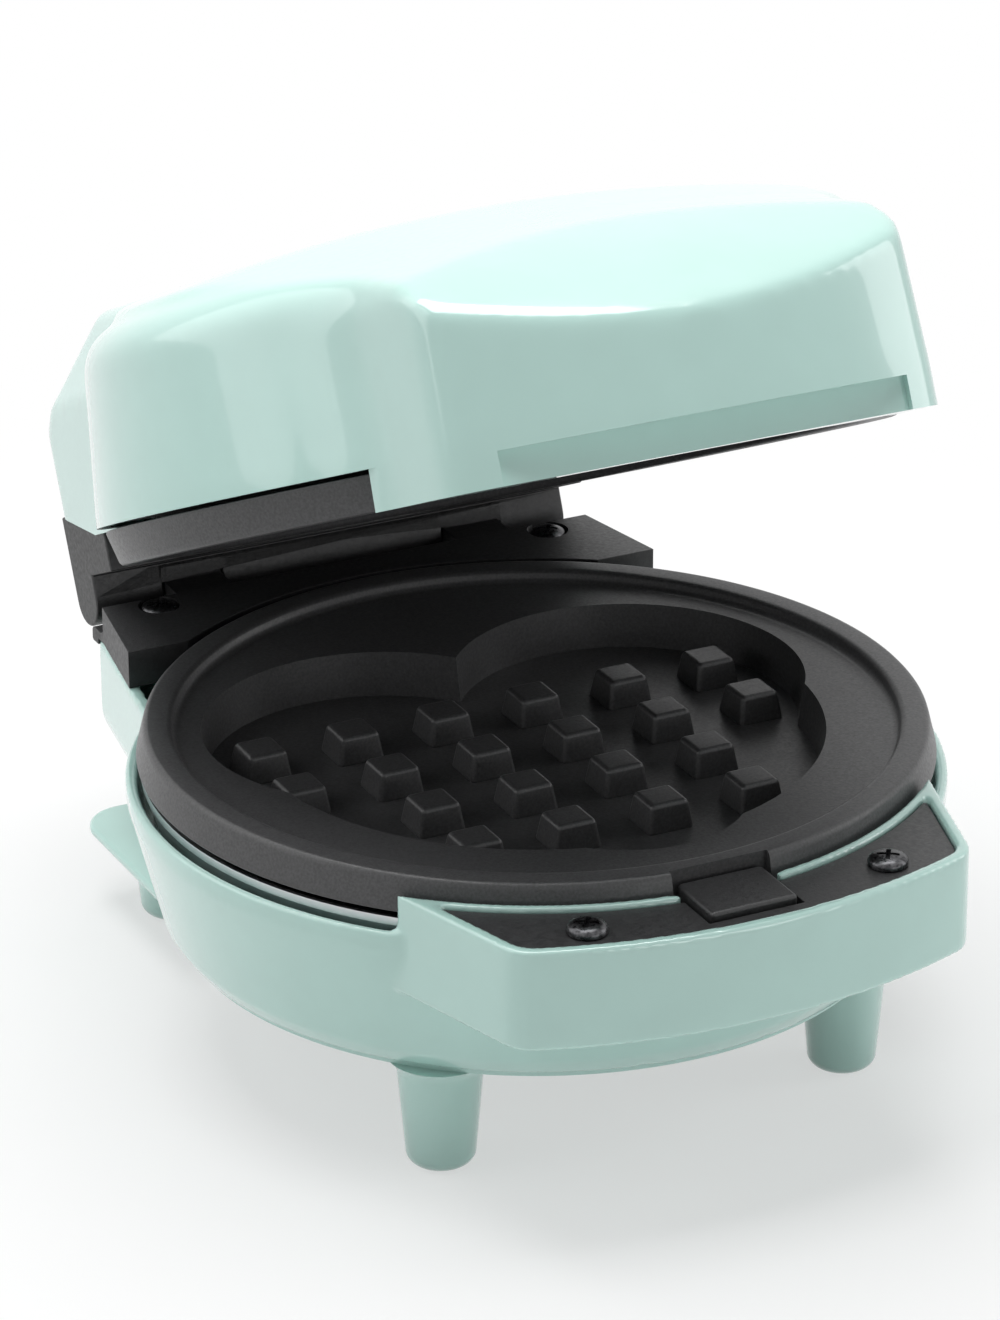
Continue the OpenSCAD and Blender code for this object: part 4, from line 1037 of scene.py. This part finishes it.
def world():
    """A dim room whose walls show white behind the object."""
    room = bpy.data.worlds.new("studio")
    bpy.context.scene.world = room
    room.use_nodes = True
    tree = room.node_tree
    tree.nodes.clear()
    dim = node(tree, "ShaderNodeBackground", Color=(1, 1, 1, 1), Strength=ROOM_LIGHT).outputs["Background"]
    white = node(tree, "ShaderNodeBackground", Color=(1, 1, 1, 1), Strength=1.0).outputs["Background"]
    both = node(tree, "ShaderNodeMixShader", [("Fac", seen_rays(tree)), (1, dim), (2, white)])
    node(tree, "ShaderNodeOutputWorld", [("Surface", both.outputs["Shader"])])


def stage():
    world()
    floor()
    for entry in LAMPS:
        lamp(*entry)
    camera()
    bpy.context.scene.view_settings.view_transform = "Standard"


# ---------------------------------------------------------------- operators


class WAFFLE_OT_stage(bpy.types.Operator):
    """Sets up the floor, the lamps and the camera"""

    bl_idname = "waffle.stage"
    bl_label = "Stage"

    def execute(self, context):
        stage()
        return {"FINISHED"}


class WAFFLE_OT_finishes(bpy.types.Operator):
    """Makes the materials and dresses the pieces kept from the frame"""

    bl_idname = "waffle.finishes"
    bl_label = "Finishes"

    def execute(self, context):
        make_materials(context.scene.waffle_colours)
        dress_kept_nodes()
        return {"FINISHED"}


class WAFFLE_OT_lid_shell(bpy.types.Operator):
    """Models the lid's moulded shell"""

    bl_idname = "waffle.lid_shell"
    bl_label = "Lid Shell"

    def execute(self, context):
        lid_shell()
        return {"FINISHED"}


class WAFFLE_OT_base_shell(bpy.types.Operator):
    """Models the base's moulded shell"""

    bl_idname = "waffle.base_shell"
    bl_label = "Base Shell"

    def execute(self, context):
        base_shell()
        return {"FINISHED"}


class WAFFLE_OT_underside(bpy.types.Operator):
    """Models the bottom cover, the legs and the cord wrap"""

    bl_idname = "waffle.underside"
    bl_label = "Underside"

    def execute(self, context):
        underside()
        return {"FINISHED"}


class WAFFLE_OT_plates(bpy.types.Operator):
    """Models the two cast plates"""

    bl_idname = "waffle.plates"
    bl_label = "Plates"

    def execute(self, context):
        plates()
        return {"FINISHED"}


class WAFFLE_OT_hinge(bpy.types.Operator):
    """Models the hinge bar and the hinge block"""

    bl_idname = "waffle.hinge"
    bl_label = "Hinge"

    def execute(self, context):
        hinge_bar()
        hinge_block()
        return {"FINISHED"}


class WAFFLE_OT_front_deck(bpy.types.Operator):
    """Models the panel in the handle and the plate's locator"""

    bl_idname = "waffle.front_deck"
    bl_label = "Front Deck"

    def execute(self, context):
        front_deck()
        return {"FINISHED"}


class WAFFLE_OT_screws(bpy.types.Operator):
    """Models the screws that show"""

    bl_idname = "waffle.screws"
    bl_label = "Screws"

    def execute(self, context):
        screws()
        return {"FINISHED"}


STEPS = (WAFFLE_OT_stage, WAFFLE_OT_finishes, WAFFLE_OT_lid_shell, WAFFLE_OT_base_shell,
         WAFFLE_OT_underside, WAFFLE_OT_plates, WAFFLE_OT_hinge, WAFFLE_OT_front_deck, WAFFLE_OT_screws)


class WAFFLE_PT_maker(bpy.types.Panel):
    """Lists the sizes, the colours and the steps"""

    bl_label = "Waffle Maker"
    bl_idname = "WAFFLE_PT_maker"
    bl_space_type = "VIEW_3D"
    bl_region_type = "UI"
    bl_category = "Waffle Maker"

    def draw(self, context):
        layout = self.layout
        for group in (context.scene.waffle_sizes, context.scene.waffle_colours):
            for key in group.__annotations__:
                layout.prop(group, key)
        for step in STEPS:
            layout.operator(step.bl_idname)


CLASSES = (WaffleSizes, WaffleColours) + STEPS + (WAFFLE_PT_maker,)


def register():
    for cls in CLASSES:
        bpy.utils.register_class(cls)
    bpy.types.Scene.waffle_sizes = PointerProperty(type=WaffleSizes)
    bpy.types.Scene.waffle_colours = PointerProperty(type=WaffleColours)


def unregister():
    del bpy.types.Scene.waffle_colours
    del bpy.types.Scene.waffle_sizes
    for cls in reversed(CLASSES):
        bpy.utils.unregister_class(cls)


def main():
    register()
    bpy.ops.waffle.stage()
    bpy.ops.waffle.finishes()
    bpy.ops.waffle.lid_shell()
    bpy.ops.waffle.base_shell()
    bpy.ops.waffle.underside()
    bpy.ops.waffle.plates()
    bpy.ops.waffle.hinge()
    bpy.ops.waffle.front_deck()
    bpy.ops.waffle.screws()


if __name__ == "__main__":
    main()
